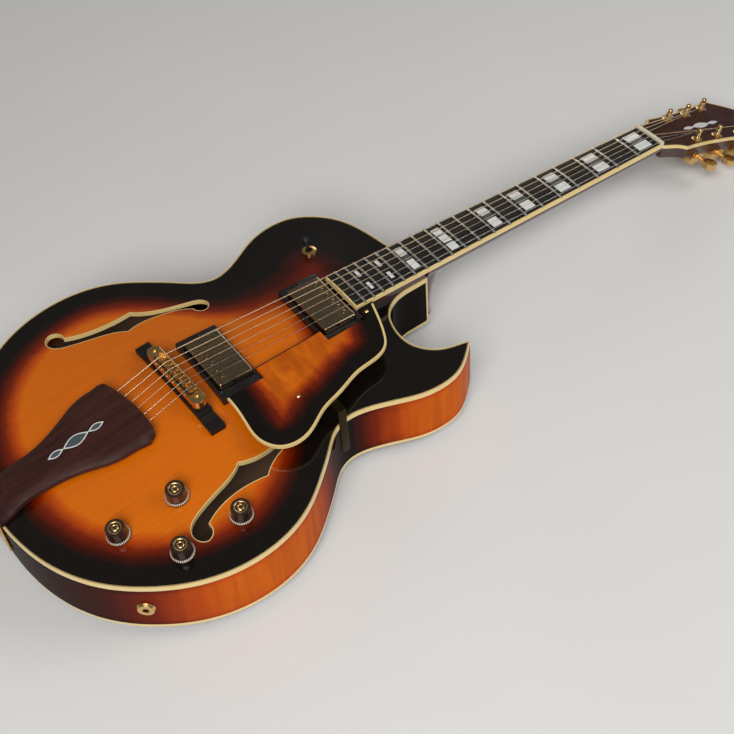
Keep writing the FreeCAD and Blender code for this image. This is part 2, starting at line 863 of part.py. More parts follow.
full_board = board_blank(0, -size.board_thick, size.board_thick).common(BOARD_ROUND)
core_board = board_blank(size.board_binding, -size.board_thick, size.board_thick).common(BOARD_ROUND)
crown_shell = board_blank(0, -size.board_thick, size.board_thick).common(
    grown_round(size.fret_rise)).cut(BOARD_ROUND)
tang_shell = core_board.cut(grown_round(-size.tang_depth))


def slab_across(middle, width):
    """A slab across the neck, for a fret or a slot."""
    return box(Vector(middle - width * HALF, -size.lower_width, -size.board_thick),
               Vector(middle + width * HALF, size.lower_width, size.board_thick))


frets = []
tangs = []
for count in range(1, FRET_COUNT + 1):
    crown = crown_shell.common(slab_across(fret_at(count), size.fret_width))
    tang = tang_shell.common(slab_across(fret_at(count), size.tang_width))
    tangs.append(tang)
    frets.append(crown.fuse(tang).removeSplitter())
node("frets", Part.makeCompound(frets), NECK)

# Inlays: pearl blocks either side of a darker middle, split finer at the octave
block_inlay_frets = (1, 3, 5, 7, 9, 15)
octave_inlay_frets = (12,)
bar_inlay_frets = (17, 19)
block_inlay_shares = [(-0.74, -0.18), (-0.18, 0.18), (0.18, 0.74)]
octave_inlay_shares = [(-0.78, -0.34), (-0.34, -0.22), (-0.22, 0.22), (0.22, 0.34), (0.34, 0.78)]
bar_inlay_shares = [(-0.62, -0.22), (0.22, 0.62)]
inlay_length_share = 0.56
bar_length_share = 0.3


def inlay_blanks(fret, shares, length_share):
    start = fret_at(fret - 1)
    end = fret_at(fret)
    middle = (start + end) * HALF
    half = board_half(middle) - size.board_binding
    length = (start - end) * length_share
    return [box(Vector(middle - length * HALF, half * low, -size.inlay_depth),
                Vector(middle + length * HALF, half * high, size.board_thick)) for low, high in shares]


inlays = []
for fret in block_inlay_frets:
    inlays += inlay_blanks(fret, block_inlay_shares, inlay_length_share)
for fret in octave_inlay_frets:
    inlays += inlay_blanks(fret, octave_inlay_shares, inlay_length_share)
for fret in bar_inlay_frets:
    inlays += inlay_blanks(fret, bar_inlay_shares, bar_length_share)
node("fretboard", core_board.cut(tangs + inlays), NECK)
node("fret_inlays", Part.makeCompound([blank.common(core_board) for blank in inlays]), NECK)

nut_low = Vector(0, -size.board_half_nut, -size.board_thick)
nut_high = Vector(size.nut_thick, size.board_half_nut, size.board_thick)
nut = moved(box(nut_low, nut_high).common(grown_round(size.nut_rise)), NECK)
node("nut", nut.cut(string_solids))


def neck_section(along, half, depth):
    """A flat top with a rounded back below it."""
    level = -size.board_thick
    shares = [(1.0, 0.0), (0.94, 0.42), (0.72, 0.78), (0.38, 0.96), (0.0, 1.0)]
    right = [Vector(along, half * across, level - depth * down) for across, down in shares]
    left = list(reversed(mirrored(right)))[1:]
    return wire_of([right + left, [left[-1], right[0]]])


joint_along = neck_station(FRONT_X)
tongue_end = -size.board_length
volute = size.nut_thick + size.head_thick
shaft = Part.makeLoft([
    neck_section(volute, size.board_half_nut, size.neck_depth_nut),
    neck_section(0, size.board_half_nut, size.neck_depth_nut),
    neck_section(joint_along, board_half(joint_along), size.neck_depth_joint)], True, True)
nut_seat = box(nut_low, nut_high)
head_clear = moved(
    box(Vector(0, -size.lower_width, -size.veneer_thick), Vector(size.body_length, size.lower_width, DEEP)),
    NECK.inverse().multiply(HEAD))
shaft = moved(shaft.cut(nut_seat).cut(head_clear), NECK).cut(prism(OUTLINE, BACK_Z, TOP_Z))

tongue_half = size.board_half_nut
tongue_low = Vector(tongue_end, -tongue_half, -DEEP)
tongue_high = Vector(joint_along, tongue_half, -size.board_thick)
tongue = moved(box(tongue_low, tongue_high),
               NECK)
tongue = tongue.cut(UNDER_TOP).common(
    box(Vector(TAIL_X, -size.lower_width, TOP_Z), Vector(FRONT_X, size.lower_width, APEX_Z + DEEP)))
tongue = tongue.cut(ring(OUTLINE, size.binding_width, TOP_Z - size.top_thick, TOP_Z))


def heel_section(level, half, reach):
    """A flat back against the body and a rounded front."""
    shares = [(0.0, -1.0), (0.5, -0.9), (0.85, -0.55), (1.0, 0.0), (0.85, 0.55), (0.5, 0.9), (0.0, 1.0)]
    front = [Vector(FRONT_X + reach * along, half * across, level) for along, across in shares]
    return wire_of([front, [front[-1], front[0]]])


heel_top = board_level(FRONT_X) - between(size.board_thick, size.neck_depth_joint, 0.7)
heel_low = BACK_Z + size.heel_cap_thick
heel_waist = between(heel_low, heel_top, 0.62)
heel = Part.makeLoft([
    heel_section(heel_low, size.heel_half, size.heel_reach),
    heel_section(heel_waist, between(size.heel_half, size.joint_half, 0.45),
                 between(size.heel_reach, size.heel_flare, 0.22)),
    heel_section(heel_top, size.joint_half * 0.95, size.heel_flare)], True, False)
heel_cap = Part.Face(heel_section(BACK_Z, size.heel_half, size.heel_reach)).extrude(
    Vector(0, 0, size.heel_cap_thick))

head_wood = prism(HEAD_OUTLINE, -HEAD_DEPTH, -size.head_binding_depth).fuse(
    prism(inset(HEAD_OUTLINE, size.head_binding), -size.head_binding_depth, -size.veneer_thick))
head_wood = moved(head_wood, HEAD)
post_holes = [drill(tuner.post, size.bushing_radius, size.body_length) for tuner in tuners]
veneer = moved(prism(inset(HEAD_OUTLINE, size.head_binding), -size.veneer_thick, 0), HEAD)
node("headstock_veneer", veneer.cut(post_holes))

truss_frame = NECK.multiply(Placement(
    Vector(-size.truss_length - size.nut_thick, 0, -size.board_thick - size.neck_depth_nut * HALF),
    Rotation(ACROSS, 90)))
truss = bound("Part::Cylinder", "truss_rod", Radius="Dims.truss_radius", Height="Dims.truss_length")
finished(truss, "truss_rod", truss_frame)
truss_tool = moved(Part.makeCylinder(size.truss_radius, size.truss_length), truss_frame)

# The heel's strap pin stands on the heel cap and points away from the back
PIN_LENGTH = size.pin_seat + size.pin_neck_length + size.pin_head_thick
HEEL_PIN = Placement(
    Vector(FRONT_X + size.heel_reach * HALF, 0, BACK_Z + size.pin_seat), Rotation(ALONG, 180))
TAIL_PIN = Placement(
    Vector(TAIL_X - size.tail_plate_thick + size.pin_seat, 0, 0), Rotation(ACROSS, -90))

head_ring = moved(ring(HEAD_OUTLINE, size.head_binding, -size.head_binding_depth, 0), HEAD)
heel_pin_hole = drill(HEEL_PIN, size.pin_neck_radius, size.pin_seat + size.pin_seat)
neck_wood = shaft.multiFuse([tongue, heel, head_wood]).removeSplitter()
node("neck", neck_wood.cut(post_holes + [truss_tool, heel_pin_hole, head_ring]))
node("heel_cap", heel_cap.cut(heel_pin_hole))

board_edge = moved(full_board.cut(core_board), NECK)
node("neck_bindings", Part.makeCompound([board_edge, head_ring.cut(moved(nut_seat, NECK))]))

# Tuners
pin = turned("pin_blank", [
    ("0", "0"), ("Dims.pin_neck_radius", "0"),
    ("Dims.pin_neck_radius", "Dims.pin_seat + Dims.pin_neck_length"),
    ("Dims.pin_head_radius", "Dims.pin_seat + Dims.pin_neck_length"),
    ("Dims.pin_head_radius", "Dims.pin_seat + Dims.pin_neck_length + Dims.pin_head_thick"),
    ("0", "Dims.pin_seat + Dims.pin_neck_length + Dims.pin_head_thick")])
bushing = turned("bushing_blank", [
    ("Dims.post_radius + Dims.running_gap", "-Dims.head_thick/2"),
    ("Dims.bushing_radius", "-Dims.head_thick/2"), ("Dims.bushing_radius", "0"),
    ("Dims.bushing_flange", "0"), ("Dims.bushing_flange", "Dims.bushing_rise/2"),
    ("Dims.bushing_radius", "Dims.bushing_rise"),
    ("Dims.post_radius + Dims.running_gap", "Dims.bushing_rise")])
post_foot = "-(Dims.veneer_thick + Dims.head_thick + Dims.housing_height/2 + Dims.gear_thick/2)"
post = turned("post_blank", [
    ("0", post_foot), ("Dims.gear_radius", post_foot), ("Dims.gear_radius", post_foot + " + Dims.gear_thick"),
    ("Dims.post_radius", post_foot + " + Dims.gear_thick"), ("Dims.post_radius", "Dims.post_height*0.27"),
    ("Dims.post_waist", "Dims.post_height*0.32"), ("Dims.post_waist", "Dims.post_height*0.78"),
    ("Dims.post_radius", "Dims.post_height*0.83"), ("Dims.post_radius", "Dims.post_height*0.94"),
    ("Dims.post_waist", "Dims.post_height"), ("0", "Dims.post_height")])

housing_box = bound("Part::Box", "housing_box", Length="Dims.housing_length", Width="Dims.housing_width",
                    Height="Dims.housing_height")
gear_well = bound("Part::Cylinder", "gear_well", Radius="Dims.gear_radius + 4*Dims.running_gap",
                  Height="Dims.housing_height/2 + Dims.gear_thick/2 + 4*Dims.running_gap")
worm_way = bound("Part::Cylinder", "worm_way", Radius="Dims.worm_radius + Dims.running_gap",
                 Height="Dims.housing_width")
gear_at = size.gear_radius + size.post_inset * 0.2
housing_box.Placement = Placement(
    Vector(-gear_at, -size.housing_width * HALF, -size.housing_height), Rotation())
gear_well.Placement = Placement(Vector(0, 0, -gear_well.Height.Value), Rotation())
worm_reach = size.housing_width * 0.38
worm_way.Placement = Placement(
    Vector(WORM_OFFSET, -size.housing_width * HALF, -size.housing_height * HALF), Rotation(ALONG, -90))
wells = doc.addObject("Part::MultiFuse", "housing_wells")
wells.Shapes = [gear_well, worm_way]
housing = doc.addObject("Part::Cut", "housing_blank")
housing.Base = housing_box
housing.Tool = wells
doc.recompute()
gear_well.Placement = Placement(Vector(0, 0, -gear_well.Height.Value), Rotation())

# A button blank stands on Z: worm and shaft below, flat grip above
button = turned("button_blank", [
    ("0", "0"), ("Dims.worm_radius", "0"), ("Dims.worm_radius", "Dims.button_gap"),
    ("Dims.worm_radius*1.9", "Dims.button_gap"), ("Dims.worm_radius*1.9", "Dims.button_gap*1.6"),
    ("0", "Dims.button_gap*1.6")])
grip_foot = "Dims.button_gap*1.4"
grip = add_pad(button, "XZ_Plane", [
    ("-Dims.button_width*0.24", grip_foot), ("Dims.button_width*0.24", grip_foot),
    ("Dims.button_width*0.5", grip_foot + " + Dims.button_length*0.34"),
    ("Dims.button_width*0.5", grip_foot + " + Dims.button_length*0.74"),
    ("Dims.button_width*0.3", grip_foot + " + Dims.button_length"),
    ("-Dims.button_width*0.3", grip_foot + " + Dims.button_length"),
    ("-Dims.button_width*0.5", grip_foot + " + Dims.button_length*0.74"),
    ("-Dims.button_width*0.5", grip_foot + " + Dims.button_length*0.34")],
    "Dims.button_thick", "button_grip")
doc.recompute()


WRAP_TURNS = 2.5
WRAP_SAMPLES = 250
QUARTERS = 4


def wrap(radius):
    """Path of a string wound on its post: quarter-turn arcs without a break."""
    orbit = size.post_waist + radius + size.running_gap
    pitch = radius + radius + size.wrap_gap
    start = WRAP_LEVEL + pitch * WRAP_TURNS * HALF

    def spot(quarter):
        angle = math.pi * HALF * quarter
        return Vector(orbit * math.cos(angle), orbit * math.sin(angle), start - pitch * quarter / QUARTERS)

    edges = [Part.Arc(spot(quarter), spot(quarter + HALF), spot(quarter + 1)).toShape()
             for quarter in range(round(WRAP_TURNS * QUARTERS))]
    return Part.Wire(edges)


def self_gap(path, radius):
    """Least gap of a wound rod to itself, on points at least half a turn apart."""
    points = path.discretize(WRAP_SAMPLES)
    apart = round(WRAP_SAMPLES / WRAP_TURNS * HALF)
    spans = [(first - second).Length
             for place, first in enumerate(points) for second in points[place + apart:]]
    return min(spans) - radius - radius


HEAD_BACK = Placement(Vector(0, 0, -HEAD_DEPTH), Rotation())
node("tuner_housings", Part.makeCompound(
    shapes_of(housing, [tuner.post.multiply(HEAD_BACK) for tuner in tuners])))
node("tuner_bushings", Part.makeCompound(shapes_of(bushing, [tuner.post for tuner in tuners])))
for index, (tuner, radius) in enumerate(zip(tuners, string_radii), start=1):
    winding = wrap(radius)
    print(f"string {index} wrap: least gap to itself {self_gap(winding, radius):.2f} mm")
    node(f"tuner_post_{index}", Part.makeCompound([post.Shape, tube(winding, radius)]), tuner.post)
    edge = head_half_at(tuner.along + WORM_OFFSET) + size.button_gap
    outward = Rotation(ALONG, -90 * tuner.side)
    stem_start = -worm_reach * 0.9
    stem = Part.makeCylinder(size.worm_radius, edge - tuner.half - stem_start)
    button_at = Placement(
        Vector(WORM_OFFSET, tuner.side * stem_start, WORM_LEVEL), outward)
    grip_shift = Placement(Vector(0, 0, edge - tuner.half - stem_start - size.button_gap * HALF), Rotation())
    whole = stem.fuse(moved(button.Shape, grip_shift)).removeSplitter()
    node(f"tuner_button_{index}", whole, tuner.post.multiply(button_at))
node("strap_pins", Part.makeCompound(shapes_of(pin, [TAIL_PIN, HEEL_PIN])))

# Strings
node("strings", Part.makeCompound(string_solids))

# Bridge
string_level = board_level(BRIDGE.Base.x) + size.bridge_clear
BAR_TOP = string_level - size.saddle_show
BAR_LOW = BAR_TOP - size.bar_height
BASE_TOP = BAR_LOW - size.wheel_thick - size.bridge_travel
WING_TOP = APEX_Z + size.wing_rise
post_halves = [side * size.bridge_post_spread * HALF for side in (1, -1)]


def bridge_at(along, half, level):
    return BRIDGE.multiply(Placement(Vector(along, half, level), Rotation()))


wings = moved(centred(size.base_width, size.base_length, TOP_Z, WING_TOP), BRIDGE)
middle_block = moved(centred(size.base_width, size.base_block, TOP_Z, BASE_TOP), BRIDGE)
post_tools = [moved(Part.makeCylinder(size.bridge_post_radius, DEEP), bridge_at(
    0, half, BASE_TOP - size.bridge_post_seat)) for half in post_halves]
base = wings.fuse(middle_block).removeSplitter()
node("bridge_base", base.cut(UNDER_TOP).cut(post_tools))

post_top = between(BAR_LOW, BAR_TOP, 0.8)
bridge_posts = [moved(Part.makeCylinder(
    size.bridge_post_radius, post_top - BASE_TOP + size.bridge_post_seat),
    bridge_at(0, half, BASE_TOP - size.bridge_post_seat)) for half in post_halves]
node("bridge_posts", Part.makeCompound(bridge_posts))

wheel = turned("wheel_blank", [
    ("Dims.bridge_post_radius + Dims.running_gap", "0"), ("Dims.wheel_radius", "0"),
    ("Dims.wheel_radius", "Dims.wheel_thick"),
    ("Dims.bridge_post_radius + Dims.running_gap", "Dims.wheel_thick")])
doc.recompute()
WHEEL_LOW = BAR_LOW - size.wheel_thick - size.running_gap
for name, half in zip(("bass", "treble"), post_halves):
    node(name + "_thumbwheel", wheel.Shape.copy(), bridge_at(0, half, WHEEL_LOW))

bar_body = doc.addObject("PartDesign::Body", "bridge_bar_blank")
add_pad(bar_body, "XY_Plane", rectangle("Dims.bar_width", "Dims.bar_length"), "Dims.bar_height",
        "bar_block", side="One side")
doc.recompute()
bar = moved(bar_body.Shape, bridge_at(0, 0, BAR_LOW))
trough = centred(size.trough_width, size.trough_length, BAR_TOP - size.trough_depth, BAR_TOP + DEEP)
trough = moved(trough, BRIDGE)
bar_bores = [moved(Part.makeCylinder(size.bridge_post_radius + FIT, DEEP), bridge_at(0, half, BAR_LOW - FIT))
             for half in post_halves]
SCREW_LEVEL = BAR_TOP - size.trough_depth * HALF
screws = []
for index in range(STRING_COUNT):
    half = spread(size.bridge_spread, index)
    screw_start = Vector(-size.bar_width * HALF, half, SCREW_LEVEL)
    frame = BRIDGE.multiply(Placement(screw_start, Rotation(ACROSS, 90)))
    shank = Part.makeCylinder(size.screw_radius, size.bar_width)
    head = Part.makeCylinder(size.screw_radius * 2.2, size.screw_radius, Vector(0, 0, -size.screw_radius))
    screws.append(moved(shank.fuse(head).removeSplitter(), frame))
node("bridge_bar", Part.makeCompound([bar.cut(bar_bores + [trough] + screws)] + screws))

saddle_profile_shares = [(-0.5, 0.0), (0.5, 0.0), (0.5, 0.5), (0.12, 1.0), (-0.12, 1.0), (-0.5, 0.5)]
for index, radius in enumerate(string_radii):
    crown = saddle_point(index).z - radius - size.string_gap
    floor = BAR_TOP - size.trough_depth + FIT
    half = spread(size.bridge_spread, index)
    corners = [Vector(size.saddle_length * along, -size.saddle_width * HALF, (crown - floor) * up)
               for along, up in saddle_profile_shares]
    block = Part.Face(Part.makePolygon(corners + corners[:1])).extrude(Vector(0, size.saddle_width, 0))
    bore = Part.makeCylinder(size.screw_radius + FIT, size.bar_width, Vector(
        -size.bar_width * HALF, 0, SCREW_LEVEL - floor), ALONG)
    node(f"saddle_{index + 1}", block.cut(bore), bridge_at(SADDLE_X, half, floor))

# Pickups and their rings
cover = doc.addObject("PartDesign::Body", "cover_blank")
cover_pad = add_pad(cover, "XY_Plane", rectangle("Dims.cover_width", "Dims.cover_length"),
                    "Dims.cover_height", "cover_block", side="One side")
cover_pad.Reversed = True
doc.recompute()
top_edges = [f"Edge{index}" for index, edge in enumerate(cover_pad.Shape.Edges, start=1)
             if min(vertex.Z for vertex in edge.Vertexes) > -size.cover_wall
             or abs(edge.Vertexes[0].Z - edge.Vertexes[-1].Z) > size.cover_wall]
cover_fillet = cover.newObject("PartDesign::Fillet", "cover_fillet")
cover_fillet.Base = (cover_pad, top_edges)
cover_fillet.setExpression("Radius", "Dims.cover_round")
doc.recompute()
hollow = centred(size.cover_width - size.cover_wall * 2, size.cover_length - size.cover_wall * 2,
                 -size.cover_height, -size.cover_wall)
coil = centred(size.cover_width - size.cover_wall * 4, size.cover_length - size.cover_wall * 4,
               size.cover_wall - size.cover_height, -size.cover_wall)
plate = centred(size.cover_width, size.cover_length, -size.cover_height - size.cover_wall, -size.cover_height)
ear_half = between(size.cover_length, size.ring_length, 0.5) * HALF
ear = centred(size.cover_width * 0.3, ROUT_LENGTH - size.cover_wall * 2,
              -size.cover_height - size.cover_wall, -size.cover_height)
ear_bores = [Part.makeCylinder(size.height_screw_radius + FIT * 2, DEEP, Vector(0, side * ear_half, -DEEP))
             for side in (1, -1)]
pedestal = centred(size.cover_width - size.cover_wall * 4, size.cover_length - size.cover_wall * 4,
                   -size.cover_height, size.cover_wall - size.cover_height)
base_plate = plate.fuse(ear).removeSplitter().cut(ear_bores)
shell = cover.Shape.cut(hollow)
coil_block = coil.fuse(pedestal).removeSplitter()
for name, frame, face_side in (("neck_pickup", PICKUPS[0], 1), ("bridge_pickup", PICKUPS[1], -1)):
    poles = []
    for index in range(STRING_COUNT):
        half = spread(size.bridge_spread * 0.96, index)
        poles.append(Part.makeCylinder(size.pole_radius, size.pole_rise, Vector(
            face_side * size.cover_width * 0.27, half, 0)))
    node(name, Part.makeCompound([shell, coil_block, base_plate] + poles), frame)

ring_block = doc.addObject("PartDesign::Body", "ring_blank")
ring_pad = add_pad(ring_block, "XY_Plane", rectangle("Dims.ring_width", "Dims.ring_length"),
                   "Dims.top_arch*2", "ring_block_pad", side="One side")
ring_pad.Reversed = True
doc.recompute()
opening = centred(size.cover_width + size.ring_gap * 2, size.cover_length + size.ring_gap * 2, -DEEP, DEEP)
screw_ways = [Part.makeCylinder(size.height_screw_radius, DEEP + DEEP, Vector(0, side * ear_half, -DEEP))
              for side in (1, -1)]
ear_way = centred(size.cover_width * 0.3 + size.cover_wall * 2, ROUT_LENGTH, -DEEP, -size.ring_flange)
rings = []
for frame in PICKUPS:
    ring_frame = frame.multiply(Placement(Vector(0, 0, -size.cover_show), Rotation()))
    blank = moved(ring_block.Shape.cut([opening, ear_way] + screw_ways), ring_frame)
    rings.append(blank.cut(UNDER_TOP))
    for side in (1, -1):
        shank_length = size.cover_height + size.cover_wall * 2 - size.cover_show
        shank_foot = Vector(0, side * ear_half, -shank_length)
        shank = Part.makeCylinder(size.height_screw_radius, shank_length, shank_foot)
        head = Part.makeCylinder(size.height_screw_radius * 1.9, size.height_screw_radius, Vector(
            0, side * ear_half, 0))
        rings.append(moved(shank.fuse(head).removeSplitter(), ring_frame))
node("pickup_rings", Part.makeCompound(rings))

# Controls
knob = turned("knob_blank", [
    ("Dims.shaft_radius", "0"), ("Dims.knob_skirt", "0"), ("Dims.knob_skirt", "Dims.knob_height*0.14"),
    ("Dims.knob_radius", "Dims.knob_height*0.24"), ("Dims.knob_crown", "Dims.knob_height*0.9"),
    ("Dims.knob_crown*0.92", "Dims.knob_height"), ("0", "Dims.knob_height"), ("0", "Dims.knob_height*0.7"),
    ("Dims.shaft_radius", "Dims.knob_height*0.7")])
shaft_foot = "-(Dims.top_thick + Dims.pot_height/2)"
shaft_end = "Dims.knob_height*0.7 + Dims.knob_lift"
shaft_rod = turned("shaft_blank", [
    ("0", shaft_foot), ("Dims.shaft_radius", shaft_foot), ("Dims.shaft_radius", shaft_end), ("0", shaft_end)])
pot_way = "Dims.shaft_radius + Dims.running_gap"
pot_roof = "-(Dims.top_thick + 2*Dims.running_gap)"
pot_foot = "-(Dims.top_thick + Dims.pot_height)"
pot_nut_top = "Dims.knob_lift - 2*Dims.running_gap"
pot = turned("pot_blank", [
    ("0", pot_foot), ("Dims.pot_radius", pot_foot), ("Dims.pot_radius", pot_roof),
    ("Dims.pot_bushing", pot_roof), ("Dims.pot_bushing", "2*Dims.running_gap"),
    ("Dims.pot_nut", "2*Dims.running_gap"),
    ("Dims.pot_nut", pot_nut_top), (pot_way, pot_nut_top), (pot_way, shaft_foot + " - Dims.running_gap"),
    ("0", shaft_foot + " - Dims.running_gap")])
doc.recompute()
knob_lift = Placement(Vector(0, 0, size.knob_lift), Rotation())
for name, frame in knob_spots.items():
    node(name + "_knob", Part.makeCompound([moved(knob.Shape, knob_lift), shaft_rod.Shape]), frame)
node("potentiometers", Part.makeCompound(shapes_of(pot, knob_spots.values())))

switch_roof = "-(Dims.top_thick + 2*Dims.running_gap)"
switch_foot = "-(Dims.top_thick + Dims.toggle_depth)"
lever_way = "Dims.toggle_bushing*0.7"
switch_top = "Dims.knob_lift*3"
switch = turned("toggle_switch_body", [
    ("0", switch_foot), ("Dims.toggle_body", switch_foot), ("Dims.toggle_body", switch_roof),
    ("Dims.toggle_bushing", switch_roof), ("Dims.toggle_bushing", "2*Dims.running_gap"),
    ("Dims.toggle_nut", "2*Dims.running_gap"), ("Dims.toggle_nut", "Dims.knob_lift*2"),
    ("Dims.toggle_bushing", switch_top), (lever_way, switch_top), (lever_way, "-Dims.top_thick*1.5"),
    ("0", "-Dims.top_thick*1.5")])
finished(switch, "toggle_switch_body", TOGGLE)
lever_neck = "Dims.lever_length - Dims.tip_length*0.2"
lever_end = "Dims.lever_length + Dims.tip_length"
lever = turned("toggle_lever", [
    ("0", "-Dims.lever_radius"), ("Dims.lever_radius", "-Dims.lever_radius"),
    ("Dims.lever_radius", lever_neck), ("Dims.tip_radius*0.8", "Dims.lever_length"),
    ("Dims.tip_radius", "Dims.lever_length + Dims.tip_length*0.55"),
    ("Dims.tip_radius*0.7", lever_end), ("0", lever_end)])
lever_frame = TOGGLE.multiply(Placement(
    Vector(0, 0, -size.top_thick), Rotation(ALONG, -size.lever_lean)))
finished(lever, "toggle_lever", lever_frame)

jack_inner = "-(Dims.jack_length - Dims.jack_flange_thick)"
jack = turned("output_jack", [
    ("Dims.jack_bore", jack_inner), ("Dims.jack_barrel", jack_inner),
    ("Dims.jack_barrel", "2*Dims.running_gap"),
    ("Dims.jack_flange", "2*Dims.running_gap"), ("Dims.jack_flange*0.86", "Dims.jack_flange_thick"),
    ("Dims.jack_bore", "Dims.jack_flange_thick")])
finished(jack, "output_jack", JACK)

# Pickguard, its binding, bracket and post
guard_shares = [
    (0.008, 0.0), (0.021, 0.186), (0.008, 0.504), (0.0, 0.7), (0.024, 0.856), (0.071, 0.954), (0.161, 1.0),
    (0.246, 0.964), (0.378, 0.829), (0.5, 0.76), (0.664, 0.66), (0.804, 0.628), (0.87, 0.563), (0.91, 0.452),
    (0.966, 0.195), (1.0, 0.01)]
guard_edge = [Vector(BRIDGE_LINE + size.guard_station + size.guard_length * along,
                     -size.guard_inner - size.guard_width * across, 0) for along, across in guard_shares]
guard_outline = [guard_edge, [guard_edge[-1], guard_edge[0]]]
GUARD_LOW = APEX_Z + size.guard_rise
GUARD_TOP = GUARD_LOW + size.guard_thick
ring_tools = []
for frame in PICKUPS:
    ring_tools.append(moved(centred(
        size.ring_width + size.guard_clear * 2, size.ring_length + size.guard_clear * 2, -DEEP, DEEP), frame))
# The edge beside the strings is bare; the binding runs round the others
bare_share = 1.6
bare_edge = box(
    Vector(0, -size.guard_inner - size.guard_binding * bare_share, GUARD_LOW),
    Vector(FRONT_X, 0, GUARD_TOP))
guard_ring = ring(guard_outline, size.guard_binding, GUARD_LOW, GUARD_TOP)
guard_plate = prism(inset(guard_outline, size.guard_binding), GUARD_LOW, GUARD_TOP)
guard_plate = guard_plate.fuse(guard_ring.common(bare_edge)).removeSplitter()
post_spot = Vector(BRIDGE_LINE + between(size.neck_pickup_station, size.guard_length, 1.1),
                   -size.guard_inner - size.guard_post_radius * 2.8, TOP_Z)
screw_spots = [
    Vector(BRIDGE_LINE + size.guard_screw_station, -size.guard_screw_half, GUARD_LOW),
    Vector(post_spot.x, post_spot.y, GUARD_LOW)]
screw_shanks = [Part.makeCylinder(size.guard_screw_radius, size.guard_thick, spot) for spot in screw_spots]
node("pickguard", guard_plate.cut(ring_tools + screw_shanks))
node("pickguard_binding", guard_ring.cut(ring_tools + [bare_edge]))

strap_x = TAIL_X + size.waist_station - size.strap_width
strap_low_z = TOP_Z - size.strap_drop
rim_probe = Part.makeLine(Vector(strap_x, 0, 0), Vector(strap_x, -size.lower_width, 0))
rim_half = abs(rim_edge.distToShape(rim_probe)[1][0][0].y)
strap_out = rim_half + size.strap_width * 0.1
strap_wide = size.strap_width * HALF
strap_flat = box(
    Vector(strap_x - strap_wide, -strap_out - size.strap_thick, GUARD_LOW - size.strap_thick),
    Vector(strap_x + strap_wide, -strap_out + size.strap_under, GUARD_LOW))
strap_upright = box(
    Vector(strap_x - strap_wide, -strap_out - size.strap_thick, strap_low_z + strap_wide),
    Vector(strap_x + strap_wide, -strap_out, GUARD_LOW))
strap_end = Part.makeCylinder(
    strap_wide, size.strap_thick,
    Vector(strap_x, -strap_out - size.strap_thick, strap_low_z + strap_wide), ACROSS)
bracket = strap_flat.fuse([strap_upright, strap_end]).removeSplitter()
strap_pad = box(
    Vector(strap_x - strap_wide, -strap_out, strap_low_z + strap_wide),
    Vector(strap_x + strap_wide, -rim_half + size.rim_wall, strap_low_z + size.strap_width))
bracket = bracket.fuse(strap_pad).removeSplitter().cut(prism(OUTLINE, BACK_Z, TOP_Z))
guard_post = Part.makeCylinder(size.guard_post_radius, GUARD_LOW - TOP_Z, post_spot).cut(UNDER_TOP)


def guard_screw(shank, spot):
    """A screw through the guard, with a low tapered head on it."""
    head_foot = Vector(spot.x, spot.y, GUARD_TOP)
    head = Part.makeCone(size.guard_screw_head, size.guard_screw_radius, size.guard_screw_rise, head_foot)
    return shank.fuse(head).removeSplitter()


guard_screws = [guard_screw(shank, spot) for shank, spot in zip(screw_shanks, screw_spots)]
node("pickguard_bracket", Part.makeCompound([bracket, guard_post] + guard_screws))

# Tailpiece: sections along the body, rolled at both edges, slanted at the front
tailpiece_shares = [
    (0.0, 0.66, 0.0), (0.155, 0.5, 0.135), (0.29, 0.505, 0.31), (0.42, 0.565, 0.45), (0.535, 0.69, 0.61),
    (0.62, 0.82, 0.72), (0.69, 0.92, 0.81), (0.785, 0.985, 0.91), (0.865, 1.0, 0.97), (1.0, 0.985, 1.0)]
rear_z = TOP_Z + size.tailpiece_rear_rise
sections = []
for along, across, up in tailpiece_shares:
    x = TAIL_X + size.tailpiece_length * along
    half = size.tailpiece_half * across
    crest = between(rear_z, TAILPIECE_FRONT_Z, up)
    roll = size.tailpiece_roll
    right = [Vector(x, half - roll * 2, crest), Vector(x, half, crest - roll),
             Vector(x, half, crest - size.tailpiece_thick)]
    left = list(reversed(mirrored(right)))
    sections.append(Part.makePolygon(right + left + right[:1]))
tailpiece = Part.makeLoft(sections, True, False)
front_half = size.tailpiece_half * tailpiece_shares[-1][1]
corner_bend_share = 0.3


def front_corner(side, radius):
    """Three spots of a rounded front corner, from the front edge round to the side."""
    inner = side * (front_half - radius)
    bend = side * (front_half - radius * corner_bend_share)
    return [Vector(tailpiece_front(inner), inner, 0),
            Vector(tailpiece_front(bend) - radius * corner_bend_share, bend, 0),
            Vector(tailpiece_front(side * front_half) - radius, side * front_half, 0)]


bass_corner = front_corner(1, size.tailpiece_bass_round)
treble_corner = list(reversed(front_corner(-1, size.tailpiece_treble_round)))
front_middle = Vector(tailpiece_front(0), 0, 0)
far_corners = [Vector(0, side * size.lower_width, 0) for side in (1, -1)]
nose_tool = prism([
    treble_corner, [treble_corner[-1], front_middle, bass_corner[0]], bass_corner,
    [bass_corner[-1], far_corners[0]], far_corners, [far_corners[1], treble_corner[0]]], 0, DEEP)
lifted_arch = moved(UNDER_TOP, Placement(Vector(0, 0, size.tailpiece_clear), Rotation()))
tailpiece = tailpiece.common(nose_tool).cut(lifted_arch)
node("tailpiece", tailpiece.cut(string_solids))

tail_plate = box(
    Vector(TAIL_X - size.tail_plate_thick, -size.tail_plate_width * HALF, TOP_Z - size.tail_plate_drop),
    Vector(TAIL_X, size.tail_plate_width * HALF, rear_z - size.tailpiece_roll))
node("tailpiece_bracket", tail_plate.cut(drill(TAIL_PIN, size.pin_neck_radius, PIN_LENGTH)))

